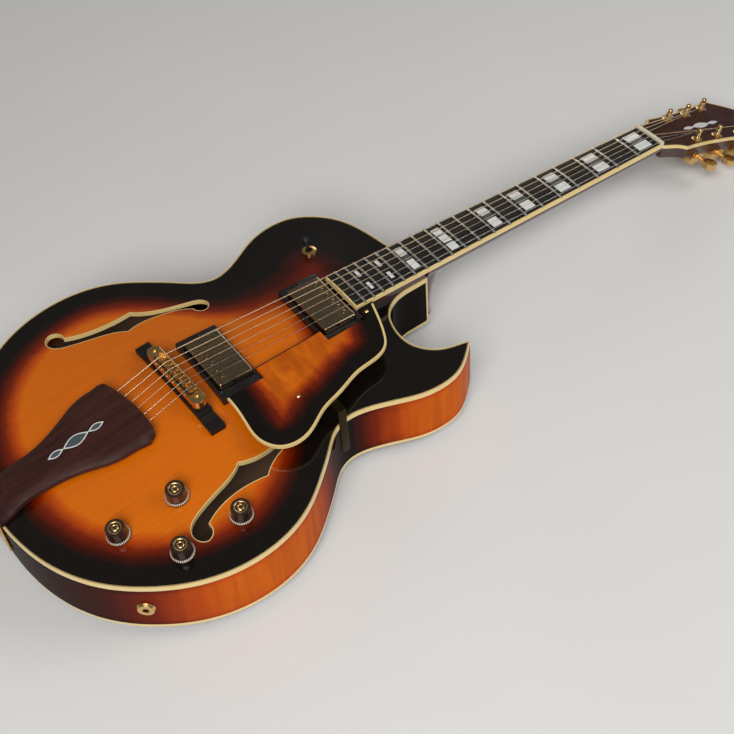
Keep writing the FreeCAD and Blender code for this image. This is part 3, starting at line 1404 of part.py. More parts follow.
# Check and write
doc.recompute()
for piece in doc.Objects:
    if {"Invalid", "Error"} & set(piece.State):
        raise RuntimeError(f"{piece.Label} did not recompute")
os.makedirs("parts", exist_ok=True)
for piece in nodes:
    if piece.Shape.isNull() or not piece.Shape.isValid():
        raise RuntimeError(f"{piece.Label} has no sound shape")
    piece.Shape.exportStep(f"parts/{piece.Label}.step")
print(len(nodes), "sub-parts written")
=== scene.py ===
"""Looks of an archtop guitar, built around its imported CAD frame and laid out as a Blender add-on."""
import json
import math

import bmesh
import bpy
import numpy as np
from bpy.props import FloatProperty, FloatVectorProperty, IntProperty, PointerProperty
from mathutils import Matrix, Vector
from mathutils.bvhtree import BVHTree
from mathutils.kdtree import KDTree


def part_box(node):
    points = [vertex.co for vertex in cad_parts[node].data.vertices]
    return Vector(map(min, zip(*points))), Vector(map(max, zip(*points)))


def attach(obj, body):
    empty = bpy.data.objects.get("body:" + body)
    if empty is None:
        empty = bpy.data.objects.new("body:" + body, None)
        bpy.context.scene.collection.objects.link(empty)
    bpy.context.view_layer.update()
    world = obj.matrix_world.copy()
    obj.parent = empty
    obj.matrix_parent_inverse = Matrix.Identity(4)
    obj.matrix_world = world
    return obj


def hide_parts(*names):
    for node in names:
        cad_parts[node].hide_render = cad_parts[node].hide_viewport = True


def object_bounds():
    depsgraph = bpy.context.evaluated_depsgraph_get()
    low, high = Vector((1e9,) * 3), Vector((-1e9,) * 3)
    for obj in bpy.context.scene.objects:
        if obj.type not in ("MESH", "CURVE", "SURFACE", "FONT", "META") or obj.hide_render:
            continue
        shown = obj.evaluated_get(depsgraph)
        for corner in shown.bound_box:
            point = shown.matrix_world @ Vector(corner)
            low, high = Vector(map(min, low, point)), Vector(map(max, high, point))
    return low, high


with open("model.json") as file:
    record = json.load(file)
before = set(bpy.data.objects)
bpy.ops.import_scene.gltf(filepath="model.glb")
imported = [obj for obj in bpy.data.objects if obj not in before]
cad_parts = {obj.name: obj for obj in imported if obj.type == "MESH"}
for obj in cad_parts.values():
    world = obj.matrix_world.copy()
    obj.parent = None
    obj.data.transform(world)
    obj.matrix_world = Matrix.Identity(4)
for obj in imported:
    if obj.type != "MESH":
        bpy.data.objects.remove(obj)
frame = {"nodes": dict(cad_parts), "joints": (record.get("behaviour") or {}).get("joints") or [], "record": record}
CAD_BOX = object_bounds()

bl_info = {
    "name": "Archtop guitar",
    "version": (1, 0, 0),
    "blender": (4, 5, 0),
    "location": "3D View > Sidebar > Guitar",
    "description": "Dresses the CAD frame of an archtop guitar",
    "category": "Object",
}

NODES = frame["nodes"]
RECORD = frame["record"]
BODY_OF = {node: body for body, members in RECORD["behaviour"]["bodies"].items() for node in members}
JOINTS = {joint["child"]: joint for joint in frame["joints"]}
KNOBS = [node for node in NODES if node.endswith("_knob")]
STRING_COUNT = 6
MM = 0.001
WELD = 0.01 * MM
UP = Vector((0, 0, 1))
DOWN = -UP
# Where the dark shell lies in each fret's inlay, from the nut on, as shares of its half-width
BLOCK_DARK = (0.0, 0.3)
OCTAVE_DARK = (0.3, 0.44)
INLAY_DARK_SHARES = (BLOCK_DARK,) * 5 + (OCTAVE_DARK, BLOCK_DARK)
# A knob's half section: shares of its radius and of its height
SKIRT_SHARE = 0.9
BORE_SHARE = 0.7
SLOPE_SHARES = ((0.98, 0.1), (0.86, 0.24))
SHELL_SHARES = ((0.96, 0.0), (1.0, 0.03), (1.0, 0.07), *SLOPE_SHARES, (0.835, 0.3), (0.82, 0.5), (0.8, 0.86),
                (0.77, 0.96), (0.72, 1.0), (0.6, 1.0), (0.57, 0.97), (0.0, 0.97))
INSERT_SHARES = ((0.0, 0.95), (0.56, 0.95), (0.56, 0.988), (0.52, 0.998), (0.49, 0.996), (0.42, 0.965),
                 (0.32, 0.965), (0.27, 0.994), (0.2, 0.998), (0.13, 0.97), (0.0, 0.96))
GROOVE_SHARES = ((0.39, 0.96), (0.39, 0.98), (0.34, 0.98), (0.34, 0.96), (0.39, 0.96))
# Marks round a knob's skirt, drawn long and wide so that in a warm pale they also stand for a painted highlight on
# the skirt
MARK_COUNT = 36
MARK_SHARE = 0.8
MARK_WIDTH_SHARE = 0.09
# Where most of a noise's values lie, and all of a sine's
NOISE_SPREAD = (0.3, 0.7)
SINE_SPREAD = (-1, 1)
# Sockets of a mix node that works on colours
MIX_INPUTS = (0, 6, 7)
MIX_OUTPUT = 2
# The sunburst's shades from its edge inwards, and how deep russet begins
BURST_SHARES = (0.0, 0.34, 0.5, 0.68, 0.86, 1.0)
DEEP_RUSSET = 0.25
# Where the plates' burst widens, as shares of the body's length
BURST_WIDENS = (0.5, 0.84)
# Where the sides darken: shares of the body's length, of its bass half-width and of its half-depth. The darkening
# at the waist, the tail end and the cutaway is painted shade; near the top and back edges it is the burst
WAIST_AT = 0.63
WAIST_WIDE = 0.085
TAIL_SPAN = (0.0, 0.3)
CUTAWAY_SPAN = (0.8, 0.86)
CUTAWAY_SIDE = (-0.62, -0.5)
EDGE_SPAN = (0.72, 1.0)
# Strength of the painted shade at the waist and the tail end and of the burst near the edges, the sides' lightest
# burst, and how deep the darkening goes
WAIST_SHADE = 0.75
TAIL_SHADE = 0.7
EDGE_DARK = 0.12
SIDE_LIGHT = 0.94
SIDE_DEPTH = 0.78
# Tints of the wood's figure, of aged plastic and of the two shells
STREAK_TINT = (0.62, 0.4, 0.3)
BAR_TINT = (0.5, 0.36, 0.26)
FIBRE_TINT = (0.55, 0.4, 0.3)
AGED_TINT = (0.86, 0.74, 0.5)
PEARL_TINTS = ((0.78, 0.66, 0.66), (0.56, 0.72, 0.7))
ABALONE_TINTS = ((0.035, 0.12, 0.11), (0.16, 0.12, 0.16))
# Pitch of a wound string's turns, and how many strings are plain
WINDING = 0.42 * MM
PLAIN_STRINGS = 2
# Leaves of the two inlays: place and length as shares of the inlay's length, and depth in the wood
HEAD_LEAVES = ((-0.5, 0.42), (0.0, 0.7), (0.5, 0.42))
HEAD_LEAF_SLIM = 0.32
HEAD_SINK = 0.02 * MM
TAIL_LEAVES = ((-0.36, 0.28), (0.0, 0.46), (0.36, 0.28))
TAIL_LEAF_LONGEST = 0.46
TAIL_INLAY_AT = 0.6
TAIL_SINK = 0.03 * MM
DARK_LEAF_LIFT = 1.4
# How many widths of its pearl line a dark leaf is shorter and slimmer than the light one round it
LINES_ALONG = 4
LINES_ACROSS = 2
LEAF_STEPS = 12
# How meshes are cleaned, bevelled and shaded
FLAT_ANGLE = math.radians(0.4)
BEVEL_ANGLE = math.radians(40)
SMOOTH_DEGREES = 32
TURNED_DEGREES = 28
EDGE_SEGMENTS = 2
END_SEGMENTS = 8
RIM_SEGMENTS = 3
# A level face's least upward share, steps of the plan searches, and a screw's greatest reach
LEVEL_FACE = 0.5
PLAN_STEP = 1.5 * MM
PLAN_DIGITS = 5
RAY_RISE = 0.1
SCREW_REACH = 20 * MM
# Lights: name, place and side, and the spot that all of them face
LIGHTS = (
    ("key", (-0.9, -1.5, 1.9), 1.5),
    ("fill", (1.9, -1.2, 1.5), 1.2),
    ("far", (2.4, 1.9, 0.9), 1.2))
LIGHT_AIM = Vector((0.3, 0, 0))


# Sizes and colours that a user would change
def colour(name, default, words):
    return FloatVectorProperty(
        name=name, description=words, default=default, subtype="COLOR", size=3, min=0, max=1)


def length(name, default, words):
    return FloatProperty(name=name, description=words, default=default, unit="LENGTH", subtype="DISTANCE")


def watts(name, default, words):
    return FloatProperty(name=name, description=words, default=default, unit="POWER")


class GuitarColours(bpy.types.PropertyGroup):
    """Colours of the finishes."""

    amber: colour("Amber", (0.72, 0.155, 0.003), "Middle of the sunburst")
    orange: colour("Orange", (0.54, 0.075, 0.002), "Sunburst between its middle and its dark edge")
    russet: colour("Russet", (0.2, 0.016, 0.001), "Sunburst next to its dark edge")
    burnt: colour("Burnt edge", (0.006, 0.004, 0.003), "Dark edge of the sunburst")
    cream: colour("Cream", (0.85, 0.64, 0.27), "Bindings")
    ebony: colour("Ebony", (0.012, 0.01, 0.009), "Fretboard and bridge base")
    rosewood: colour("Rosewood", (0.044, 0.0135, 0.0095), "Tailpiece and headstock face")
    inner_wood: colour("Inner wood", (0.34, 0.2, 0.12), "Bare wood inside the body")
    gold: colour("Gold", (0.86, 0.56, 0.22), "Plated metal")
    # The covers' gold is darker than the rest of the plated metal
    cover: colour("Cover", (0.4, 0.3, 0.19), "Aged plate of the pickup covers")
    nickel: colour("Nickel", (0.74, 0.7, 0.62), "Frets and plain strings")
    bronze: colour("Bronze", (0.86, 0.64, 0.4), "Wound strings")
    pearl: colour("Pearl", (0.86, 0.85, 0.8), "Light inlays")
    abalone: colour("Abalone", (0.05, 0.068, 0.062), "Dark inlays")
    black: colour("Black", (0.008, 0.007, 0.007), "Plastic of the pickup rings")
    brown: colour("Brown", (0.022, 0.011, 0.008), "Plastic of the knobs")
    # The marks' warm pale also serves as a painted highlight on the knobs' skirts
    marks: colour("Marks", (0.8, 0.66, 0.55), "Marks round the knobs' skirts")
    bone: colour("Bone", (0.76, 0.68, 0.5), "Nut")
    floor: colour("Floor", (0.8, 0.79, 0.77), "Studio floor")


class GuitarSizes(bpy.types.PropertyGroup):
    """Sizes of the details that the scene adds to the frame."""

    mesh_step: length("Mesh step", 5 * MM, "Longest edge on the painted plates")
    burst_tail: length("Burst at tail", 54 * MM, "Width of the sunburst's edge on the lower bout")
    burst_neck: length("Burst at neck", 138 * MM, "Width of the sunburst's edge at the neck")
    guard_burst: length("Pickguard burst", 39 * MM, "Width of the dark edge of the pickguard")
    guard_line: length("Pickguard line", 1.4 * MM, "Width of the dark line along the pickguard's bare edge")
    soft_edge: length("Soft edge", 0.35 * MM, "Rounding of hard metal and plastic edges")
    bar_round: length("Bar end", 6.4 * MM, "Rounding of the bridge bar's ends")
    bar_rim: length("Bar rim", 0.9 * MM, "Rounding of the bridge bar's upper rim")
    inlay_lift: length("Inlay lift", 0.12 * MM, "How far an inlay stands out of the wood")
    mark_lift: length("Mark lift", 0.15 * MM, "How far a mark stands out of a knob's skirt")
    inlay_length: length("Tailpiece inlay", 62 * MM, "Length of the tailpiece's inlay")
    inlay_width: length("Tailpiece inlay width", 13 * MM, "Width of the tailpiece's inlay")
    inlay_line: length("Tailpiece inlay line", 1.1 * MM, "Width of the pearl line round the abalone")
    head_inlay: length("Headstock inlay", 46 * MM, "Length of the headstock's inlay")
    turned_steps: IntProperty(
        name="Turned steps", description="Steps round a turned piece", default=64, min=12)


class GuitarStage(bpy.types.PropertyGroup):
    """Camera, floor and lights."""

    camera_at: FloatVectorProperty(
        name="Camera", description="Place of the camera", default=(-0.040918, -0.757582, 0.972031),
        subtype="TRANSLATION", unit="LENGTH")
    camera_right: FloatVectorProperty(
        name="Camera right", description="Direction of the picture's right side",
        default=(0.8051984, -0.5902062, -0.0575515), subtype="DIRECTION")
    camera_up: FloatVectorProperty(
        name="Camera up", description="Direction of the picture's top",
        default=(0.4806825, 0.5927677, 0.6461971), subtype="DIRECTION")
    lens: FloatProperty(name="Lens", description="Focal length in millimetres", default=60.37)
    floor_size: length("Floor size", 14.0, "Side of the floor")
    key_power: watts("Key light", 54.0, "Power of the main light")
    fill_power: watts("Fill light", 16.0, "Power of the second light")
    far_power: watts("Far light", 9.0, "Power of the light on the far side")
    sky_colour: colour("Sky colour", (1, 0.98, 0.95), "Colour of the light from all round")
    sky: FloatProperty(name="Sky", description="Strength of the light from all round", default=0.14)


def colours():
    return bpy.context.scene.guitar_colours


def sizes():
    return bpy.context.scene.guitar_sizes


# Materials
class Tree:
    """A material's node tree, written as nested calls."""

    def __init__(self, name):
        self.material = bpy.data.materials.new(name)
        self.material.use_nodes = True
        self.nodes = self.material.node_tree.nodes
        self.links = self.material.node_tree.links
        self.shader = self.nodes["Principled BSDF"]
        self.place = self.add("ShaderNodeTexCoord").outputs["Object"]

    def add(self, kind, inputs=None, **settings):
        node = self.nodes.new(kind)
        for key, value in settings.items():
            setattr(node, key, value)
        for key, value in (inputs or {}).items():
            self.feed(node.inputs[key], value)
        return node

    def feed(self, socket, value):
        if isinstance(value, bpy.types.NodeSocket):
            self.links.new(value, socket)
        elif socket.type == "RGBA":
            socket.default_value = (*value, 1) if len(value) == 3 else value
        else:
            socket.default_value = value

    def stretched(self, scale, vector=None):
        return self.add("ShaderNodeMapping", {"Vector": vector or self.place, "Scale": scale}).outputs[0]

    def noise(self, scale, detail=4.0, roughness=0.55, distortion=0.0, vector=None):
        return self.add("ShaderNodeTexNoise", {
            "Vector": self.stretched(scale, vector), "Scale": 1.0, "Detail": detail, "Roughness": roughness,
            "Distortion": distortion}).outputs[0]

    def ramp(self, factor, stops):
        node = self.add("ShaderNodeValToRGB", {"Fac": factor})
        elements = node.color_ramp.elements
        for spot, _ in stops[len(elements):]:
            elements.new(spot)
        for element, (spot, shade) in zip(elements, stops):
            element.position = spot
            element.color = (*shade, 1)
        return node.outputs[0]

    def blend(self, noise, dark, light, spread=NOISE_SPREAD):
        """Runs from one shade to the other over a noise's spread."""
        return self.ramp(noise, list(zip(spread, (dark, light))))

    def mix(self, factor, first, second, blend="MIX"):
        node = self.add("ShaderNodeMix", data_type="RGBA", blend_type=blend)
        for index, value in zip(MIX_INPUTS, (factor, first, second)):
            self.feed(node.inputs[index], value)
        return node.outputs[MIX_OUTPUT]

    def tinted(self, factor, paint, tint):
        """Paint that takes on a tint where the factor is high."""
        return self.mix(factor, paint, self.mix(1.0, paint, tint, "MULTIPLY"))

    def math(self, operation, first, second=0.0):
        return self.add("ShaderNodeMath", {0: first, 1: second}, operation=operation).outputs[0]

    def span(self, value, onto=(0.0, 1.0), spread=NOISE_SPREAD):
        """Lays the spread of a value onto another range."""
        return self.add("ShaderNodeMapRange", {
            "Value": value, "From Min": spread[0], "From Max": spread[1],
            "To Min": onto[0], "To Max": onto[1]}).outputs[0]

    def attribute(self, name):
        return self.add("ShaderNodeAttribute", attribute_name=name).outputs["Fac"]

    def bump(self, height, strength, distance):
        return self.add("ShaderNodeBump", {
            "Height": height, "Strength": strength, "Distance": distance}).outputs[0]

    def shade(self, **sockets):
        for name, value in sockets.items():
            self.feed(self.shader.inputs[name.replace("_", " ")], value)
        return self.material


made_materials = {}


def material(maker):
    """Lets a material's function make it once and hand it out again."""
    def handed():
        if maker.__name__ not in made_materials:
            made_materials[maker.__name__] = maker(Tree(maker.__name__), colours())
        return made_materials[maker.__name__]
    return handed


def scaled(shade, factor):
    return tuple(min(1, channel * factor) for channel in shade)


def burst_stops(shades):
    deep = scaled(shades.russet, DEEP_RUSSET)
    return list(zip(BURST_SHARES, (
        shades.burnt, shades.burnt, deep, shades.russet, shades.orange, shades.amber)))


@material
def spruce_burst(tree, shades):
    """Lacquered spruce: straight grain, matched at the centre line, under an amber to black burst."""
    parts = tree.add("ShaderNodeSeparateXYZ", {"Vector": tree.place}).outputs
    folded = tree.add("ShaderNodeCombineXYZ", {
        "X": parts["X"], "Y": tree.math("ABSOLUTE", parts["Y"]), "Z": parts["Z"]}).outputs[0]
    grain = tree.noise((5, 620, 5), detail=3, roughness=0.6, distortion=0.15, vector=folded)
    cloud = tree.noise((14, 22, 14), roughness=0.6, distortion=0.4, vector=folded)
    burst = tree.math("ADD", tree.attribute("burst"), tree.span(cloud, onto=(-0.05, 0.05)))
    paint = tree.ramp(burst, burst_stops(shades))
    streaks = tree.span(grain, onto=(0, 0.3), spread=(0.42, 0.7))
    return tree.shade(
        Base_Color=tree.tinted(streaks, paint, STREAK_TINT), Roughness=tree.span(cloud, onto=(0.24, 0.36)),
        Normal=tree.bump(grain, strength=0.05, distance=0.1 * MM), Specular_IOR_Level=0.05,
        Coat_Weight=0.8, Coat_Roughness=0.035)


def flamed(tree, shades, burst, flame, fibre, depth=0.55):
    """Colour of flamed maple under a burst: soft bars across the grain."""
    bars = tree.noise(flame, detail=2, roughness=0.5, distortion=0.8)
    fibres = tree.noise(fibre, detail=3, roughness=0.6)
    paint = tree.ramp(burst, burst_stops(shades))
    figured = tree.tinted(tree.span(bars, onto=(0, depth), spread=(0.35, 0.65)), paint, BAR_TINT)
    return tree.tinted(tree.span(fibres, onto=(0, 0.2), spread=(0.45, 0.75)), figured, FIBRE_TINT)


def lacquered(tree, figure, specular, coat):
    """Figured wood under a clear lacquer."""
    return tree.shade(
        Base_Color=figure, Roughness=tree.span(tree.noise((30, 30, 30)), onto=(0.24, 0.34)),
        Specular_IOR_Level=specular, Coat_Weight=coat, Coat_Roughness=0.04)


def mottled(tree, noise, base, depths, roughness, **sockets):
    """One colour in two depths, with a gloss that changes along with it."""
    dark, light = (scaled(base, depth) for depth in depths)
    return tree.shade(
        Base_Color=tree.blend(noise, dark, light), Roughness=tree.span(noise, onto=roughness), **sockets)


@material
def maple_sides(tree, shades):
    """Lacquered bent maple with upright flame, under a burst that also carries painted shade at the waist, the
    tail end and the cutaway.
    """
    figure = flamed(
        tree, shades, tree.attribute("burst"), flame=(95, 95, 6), fibre=(26, 26, 700), depth=0.34)
    return lacquered(tree, figure, specular=0.0, coat=0.2)


@material
def maple_back(tree, shades):
    """Lacquered maple back."""
    figure = flamed(tree, shades, tree.attribute("burst"), flame=(120, 9, 9), fibre=(8, 520, 8))
    return lacquered(tree, figure, specular=0.05, coat=0.7)


@material
def maple_guard(tree, shades):
    """Lacquered maple of the pickguard, with slanted flame and a dark edge."""
    wander = tree.span(tree.noise((20, 20, 20)), onto=(-0.08, 0.08))
    burst = tree.math("ADD", tree.attribute("burst"), wander)
    figure = flamed(tree, shades, burst, flame=(84, 26, 20), fibre=(30, 420, 30), depth=0.62)
    return tree.shade(
        Base_Color=figure, Roughness=0.26, Specular_IOR_Level=0.05, Coat_Weight=0.7, Coat_Roughness=0.03)


@material
def dark_neck(tree, shades):
    """Neck wood under a near-black lacquer, with a hint of its fibre."""
    fibre = tree.noise((6, 260, 260), roughness=0.6, distortion=0.2)
    return mottled(tree, fibre, shades.russet, depths=(0.1, 0.28), roughness=(0.22, 0.34),
                   Coat_Weight=1.0, Coat_Roughness=0.05)


def open_grain(tree, dark, light, roughness, depth, gloss):
    """Oiled wood: long pores and slow colour bands."""
    pores = tree.noise((30, 1300, 900), detail=2, roughness=0.7)
    bands = tree.noise((7, 140, 120), distortion=0.5)
    paint = tree.blend(bands, dark, light, spread=(0.3, 0.72))
    deep = (0.55, 0.75)
    worn = tree.mix(tree.span(pores, onto=(0, 0.6), spread=deep), paint, scaled(dark, 0.4))
    hollow = tree.span(pores, onto=(1, 0), spread=deep)
    return tree.shade(
        Base_Color=worn, Specular_IOR_Level=gloss,
        Roughness=tree.span(pores, onto=(roughness, roughness + 0.2), spread=(0.3, 0.75)),
        Normal=tree.bump(hollow, strength=0.35, distance=depth))


@material
def ebony(tree, shades):
    """Oiled ebony."""
    return open_grain(tree, scaled(shades.ebony, 0.7), scaled(shades.ebony, 1.9),
                      roughness=0.32, depth=0.06 * MM, gloss=0.16)


@material
def rosewood(tree, shades):
    """Satin dark brown wood."""
    return open_grain(tree, scaled(shades.rosewood, 0.65), scaled(shades.rosewood, 1.5),
                      roughness=0.36, depth=0.08 * MM, gloss=0.3)


@material
def head_face(tree, shades):
    """Lacquered dark brown face of the headstock."""
    bands = tree.noise((9, 160, 160), roughness=0.6, distortion=0.8)
    return mottled(tree, bands, shades.rosewood, depths=(0.5, 1.7), roughness=(0.28, 0.38),
                   Specular_IOR_Level=0.08, Coat_Weight=0.12, Coat_Roughness=0.05)


@material
def inner_wood(tree, shades):
    """Bare wood inside the body."""
    fibre = tree.noise((9, 360, 360), roughness=0.6, distortion=0.3)
    return mottled(tree, fibre, shades.inner_wood, depths=(0.7, 1.0), roughness=(0.7, 0.85),
                   Normal=tree.bump(fibre, strength=0.2, distance=0.1 * MM))


def celluloid(tree, paint):
    """Aged plastic with a soft mottle, under lacquer."""
    mottle = tree.noise((60, 60, 60), roughness=0.6)
    aged = tree.tinted(tree.span(mottle, onto=(0, 0.35), spread=(0.35, 0.7)), paint, AGED_TINT)
    return tree.shade(Base_Color=aged, Roughness=tree.span(mottle, onto=(0.28, 0.4)),
                      Coat_Weight=0.8, Coat_Roughness=0.06)


@material
def cream(tree, shades):
    """Plain cream binding."""
    return celluloid(tree, shades.cream)


@material
def cream_plies(tree, shades):
    """Cream and black plies; the ply attribute runs from 0 at the outer wall to 1 at the plate."""
    plies = tree.ramp(tree.attribute("ply"), [
        (0.0, shades.cream), (0.5, shades.black), (0.62, scaled(shades.cream, 0.75)),
        (0.76, shades.black), (0.86, scaled(shades.cream, 0.6)), (0.94, shades.black)])
    plies.node.color_ramp.interpolation = "CONSTANT"
    return celluloid(tree, plies)


def plated(tree, tint, roughness):
    """Polished metal with faint smears and tiny pits."""
    smear = tree.noise((90, 160, 90), detail=5, roughness=0.65, distortion=0.6)
    pits = tree.noise((1500, 1500, 1500), detail=2, roughness=0.5)
    return tree.shade(
        Base_Color=tree.blend(smear, scaled(tint, 0.78), tint), Metallic=1.0,
        Roughness=tree.span(smear, onto=(roughness, roughness * 2), spread=(0.3, 0.75)),
        Normal=tree.bump(pits, strength=0.05, distance=0.03 * MM))


@material
def gold(tree, shades):
    """Gold plate."""
    return plated(tree, shades.gold, roughness=0.19)


@material
def cover_metal(tree, shades):
    """Gold of the pickup covers, darker and duller than the rest."""
    return plated(tree, shades.cover, roughness=0.1)


@material
def black_metal(tree, shades):
    """Black plated metal of the pickguard's bracket."""
    return plated(tree, scaled(shades.gold, 0.05), roughness=0.24)


@material
def nickel(tree, shades):
    """Nickel silver and plain steel."""
    return plated(tree, shades.nickel, roughness=0.2)


@material
def bronze_wound(tree, shades):
    """Wound string: fine turns round the core, with painted shade in bands along them."""
    parts = tree.add("ShaderNodeSeparateXYZ", {"Vector": tree.place}).outputs
    turns = tree.math("SINE", tree.math("MULTIPLY", parts["X"], math.tau / WINDING))
    # Painted shade: the colour darkens in bands that follow the turns
    hollow = tree.span(turns, onto=(0, 0.5), spread=SINE_SPREAD)
    return tree.shade(
        Base_Color=tree.mix(hollow, shades.bronze, scaled(shades.bronze, 0.45)), Metallic=1.0,
        Roughness=tree.span(turns, onto=(0.3, 0.42), spread=SINE_SPREAD),
        Normal=tree.bump(turns, strength=0.4, distance=0.05 * MM))


def shell_inlay(tree, base, tints, cell):
    """Shell with drifting tints in flat flakes."""
    flakes = tree.add("ShaderNodeTexVoronoi", {"Vector": tree.place, "Scale": cell}, feature="F1")
    drift = tree.noise((260, 260, 260), roughness=0.6, distortion=1.5)
    glow = tree.mix(tree.span(drift), *tints)
    share = tree.span(flakes.outputs["Distance"], onto=(0.1, 0.55), spread=(0.1, 0.7))
    return tree.shade(Base_Color=tree.mix(share, base, glow), Roughness=tree.span(drift, onto=(0.12, 0.24)),
                      Coat_Weight=0.6, Coat_Roughness=0.05)


@material
def pearl(tree, shades):
    """Pale pearl."""
    return shell_inlay(tree, shades.pearl, PEARL_TINTS, cell=190)


@material
def abalone(tree, shades):
    """Grey-green abalone."""
    return shell_inlay(tree, shades.abalone, ABALONE_TINTS, cell=320)


@material
def black_plastic(tree, shades):
    """Moulded black plastic with fine handling marks."""
    marks = tree.noise((420, 420, 420), detail=3, roughness=0.6)
    return mottled(tree, marks, shades.black, depths=(0.8, 1.8), roughness=(0.26, 0.4),
                   Normal=tree.bump(marks, strength=0.05, distance=0.05 * MM))


@material
def brown_plastic(tree, shades):
    """Glossy dark brown plastic of the knobs."""
    marks = tree.noise((300, 300, 300), detail=3, roughness=0.6)
    return mottled(tree, marks, shades.brown, depths=(0.7, 1.6), roughness=(0.14, 0.26),
                   Coat_Weight=0.5, Coat_Roughness=0.04)


@material
def pale_marks(tree, shades):
    """Filled marks on the knobs' skirts, which also stand for a painted highlight there."""
    return celluloid(tree, shades.marks)


@material
def bone(tree, shades):
    """Polished bone."""
    fibre = tree.noise((500, 60, 500), detail=3, roughness=0.6)
    return mottled(tree, fibre, shades.bone, depths=(0.82, 1.0), roughness=(0.3, 0.42))


@material
def studio_floor(tree, shades):
    """Pale matt floor."""
    cloud = tree.noise((3, 3, 3), detail=3, roughness=0.5)
    return mottled(tree, cloud, shades.floor, depths=(0.97, 1.0), roughness=(0.75, 0.85))


# Meshes
def select_only(*pieces):
    """Selects the given pieces and no others, with the first of them active."""
    bpy.ops.object.select_all(action="DESELECT")
    for piece in pieces:
        piece.select_set(True)
    bpy.context.view_layer.objects.active = pieces[0]


def edit(piece, select="SELECT"):
    """Enters edit mode on one piece alone, with all of its mesh selected or not."""
    select_only(piece)
    bpy.ops.object.mode_set(mode="EDIT")
    bpy.ops.mesh.select_mode(type="VERT")
    bpy.ops.mesh.select_all(action=select)


def leave():
    bpy.ops.object.mode_set(mode="OBJECT")


def apply_modifier(piece, kind, **settings):
    select_only(piece)
    modifier = piece.modifiers.new(kind.title(), kind)
    for key, value in settings.items():
        setattr(modifier, key, value)
    bpy.ops.object.modifier_apply(modifier=modifier.name)


def smooth(piece, degrees=SMOOTH_DEGREES):
    select_only(piece)
    bpy.ops.object.shade_smooth_by_angle(angle=math.radians(degrees))


def linked(name, mesh):
    piece = bpy.data.objects.new(name, mesh)
    bpy.context.scene.collection.objects.link(piece)
    return piece


def settle(piece, node, *surfaces, stands_for=True):
    """Puts a finished piece on its node's body with its materials."""
    piece.data.materials.clear()
    for surface in surfaces:
        piece.data.materials.append(surface)
    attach(piece, BODY_OF[node])
    if stands_for:
        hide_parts(node)
    return piece


def copy_of(node):
    """A merged copy of a CAD node's mesh."""
    piece = linked(node + "_look", NODES[node].data.copy())
    edit(piece)
    bpy.ops.mesh.customdata_custom_splitnormals_clear()
    bpy.ops.mesh.remove_doubles(threshold=WELD)
    leave()
    return piece


def flattened(piece):
    """Makes one face of the triangles that lie in a plane."""
    edit(piece)
    bpy.ops.mesh.dissolve_limited(angle_limit=FLAT_ANGLE)
    leave()


def dressed(node, *surfaces, degrees=SMOOTH_DEGREES, soft=0.0):
    """A CAD node's own shape with smooth curves, softened edges and a finish."""
    piece = copy_of(node)
    if soft:
        flattened(piece)
        apply_modifier(piece, "BEVEL", width=soft, segments=EDGE_SEGMENTS, limit_method="ANGLE",
                       angle_limit=BEVEL_ANGLE)
    smooth(piece, degrees)
    return settle(piece, node, *surfaces)


def sliced(piece, step):
    """Cuts a flat piece along a grid seen from above, so that it can follow a curve or hold an attribute."""
    spots = points_of(piece)
    edit(piece)
    for axis in (0, 1):
        normal = Vector((axis == 0, axis == 1, 0))
        for place in np.arange(spots[:, axis].min() + step / 2, spots[:, axis].max(), step):
            bpy.ops.mesh.select_all(action="SELECT")
            bpy.ops.mesh.bisect(plane_co=normal * place, plane_no=normal, threshold=WELD)
    leave()


def pick_edges(piece, wanted):
    """Enters edit mode with only those edges selected whose two ends pass the given test together."""
    edit(piece, "DESELECT")
    bpy.ops.mesh.select_mode(type="EDGE")
    leave()
    spots = piece.data.vertices
    for edge in piece.data.edges:
        edge.select = wanted(*(spots[index].co for index in edge.vertices))
    bpy.ops.object.mode_set(mode="EDIT")


def points_of(piece):
    spots = np.empty(len(piece.data.vertices) * 3, np.float32)
    piece.data.vertices.foreach_get("co", spots)
    return spots.reshape(-1, 3)


def store(piece, name, values):
    """Keeps one number for each vertex, for the materials to read."""
    layer = piece.data.attributes.new(name, "FLOAT", "POINT")
    layer.data.foreach_set("value", np.asarray(values, np.float32))


def plan_tree(node):
    """Nearest-point search, seen from above, along the edges of a CAD node."""
    mesh = NODES[node].data
    spots = set()
    for edge in mesh.edges:
        first, second = (mesh.vertices[index].co for index in edge.vertices)
        count = max(1, math.ceil((second - first).xy.length / PLAN_STEP))
        for share in range(count + 1):
            spot = first.lerp(second, share / count)
            spots.add((round(spot.x, PLAN_DIGITS), round(spot.y, PLAN_DIGITS)))
    tree = KDTree(len(spots))
    for index, (x, y) in enumerate(sorted(spots)):
        tree.insert((x, y, 0), index)
    tree.balance()
    return tree


def surface_of(node):
    """A CAD node's surface, for casting rays on it."""
    mesh = NODES[node].data
    return BVHTree.FromPolygons(
        [vertex.co for vertex in mesh.vertices], [face.vertices for face in mesh.polygons])


def plan_distance(tree, spots):
    return np.array([tree.find((x, y, 0))[2] for x, y, _ in spots.tolist()])


def islands(piece):
    """The faces of each separate solid in a piece, as lists of indices."""
    mesh = bmesh.new()
    mesh.from_mesh(piece.data)
    left = set(mesh.faces)
    groups = []
    for face in mesh.faces:
        if face not in left:
            continue
        group = []
        front = [face]
        left.discard(face)
        while front:
            here = front.pop()
            group.append(here.index)
            for edge in here.edges:
                for beside in edge.link_faces:
                    if beside in left:
                        left.discard(beside)
                        front.append(beside)
        groups.append(sorted(group))
    mesh.free()
    return groups


def middle_of(piece, faces):
    total = Vector()
    for index in faces:
        total += piece.data.polygons[index].center
    return total / len(faces)


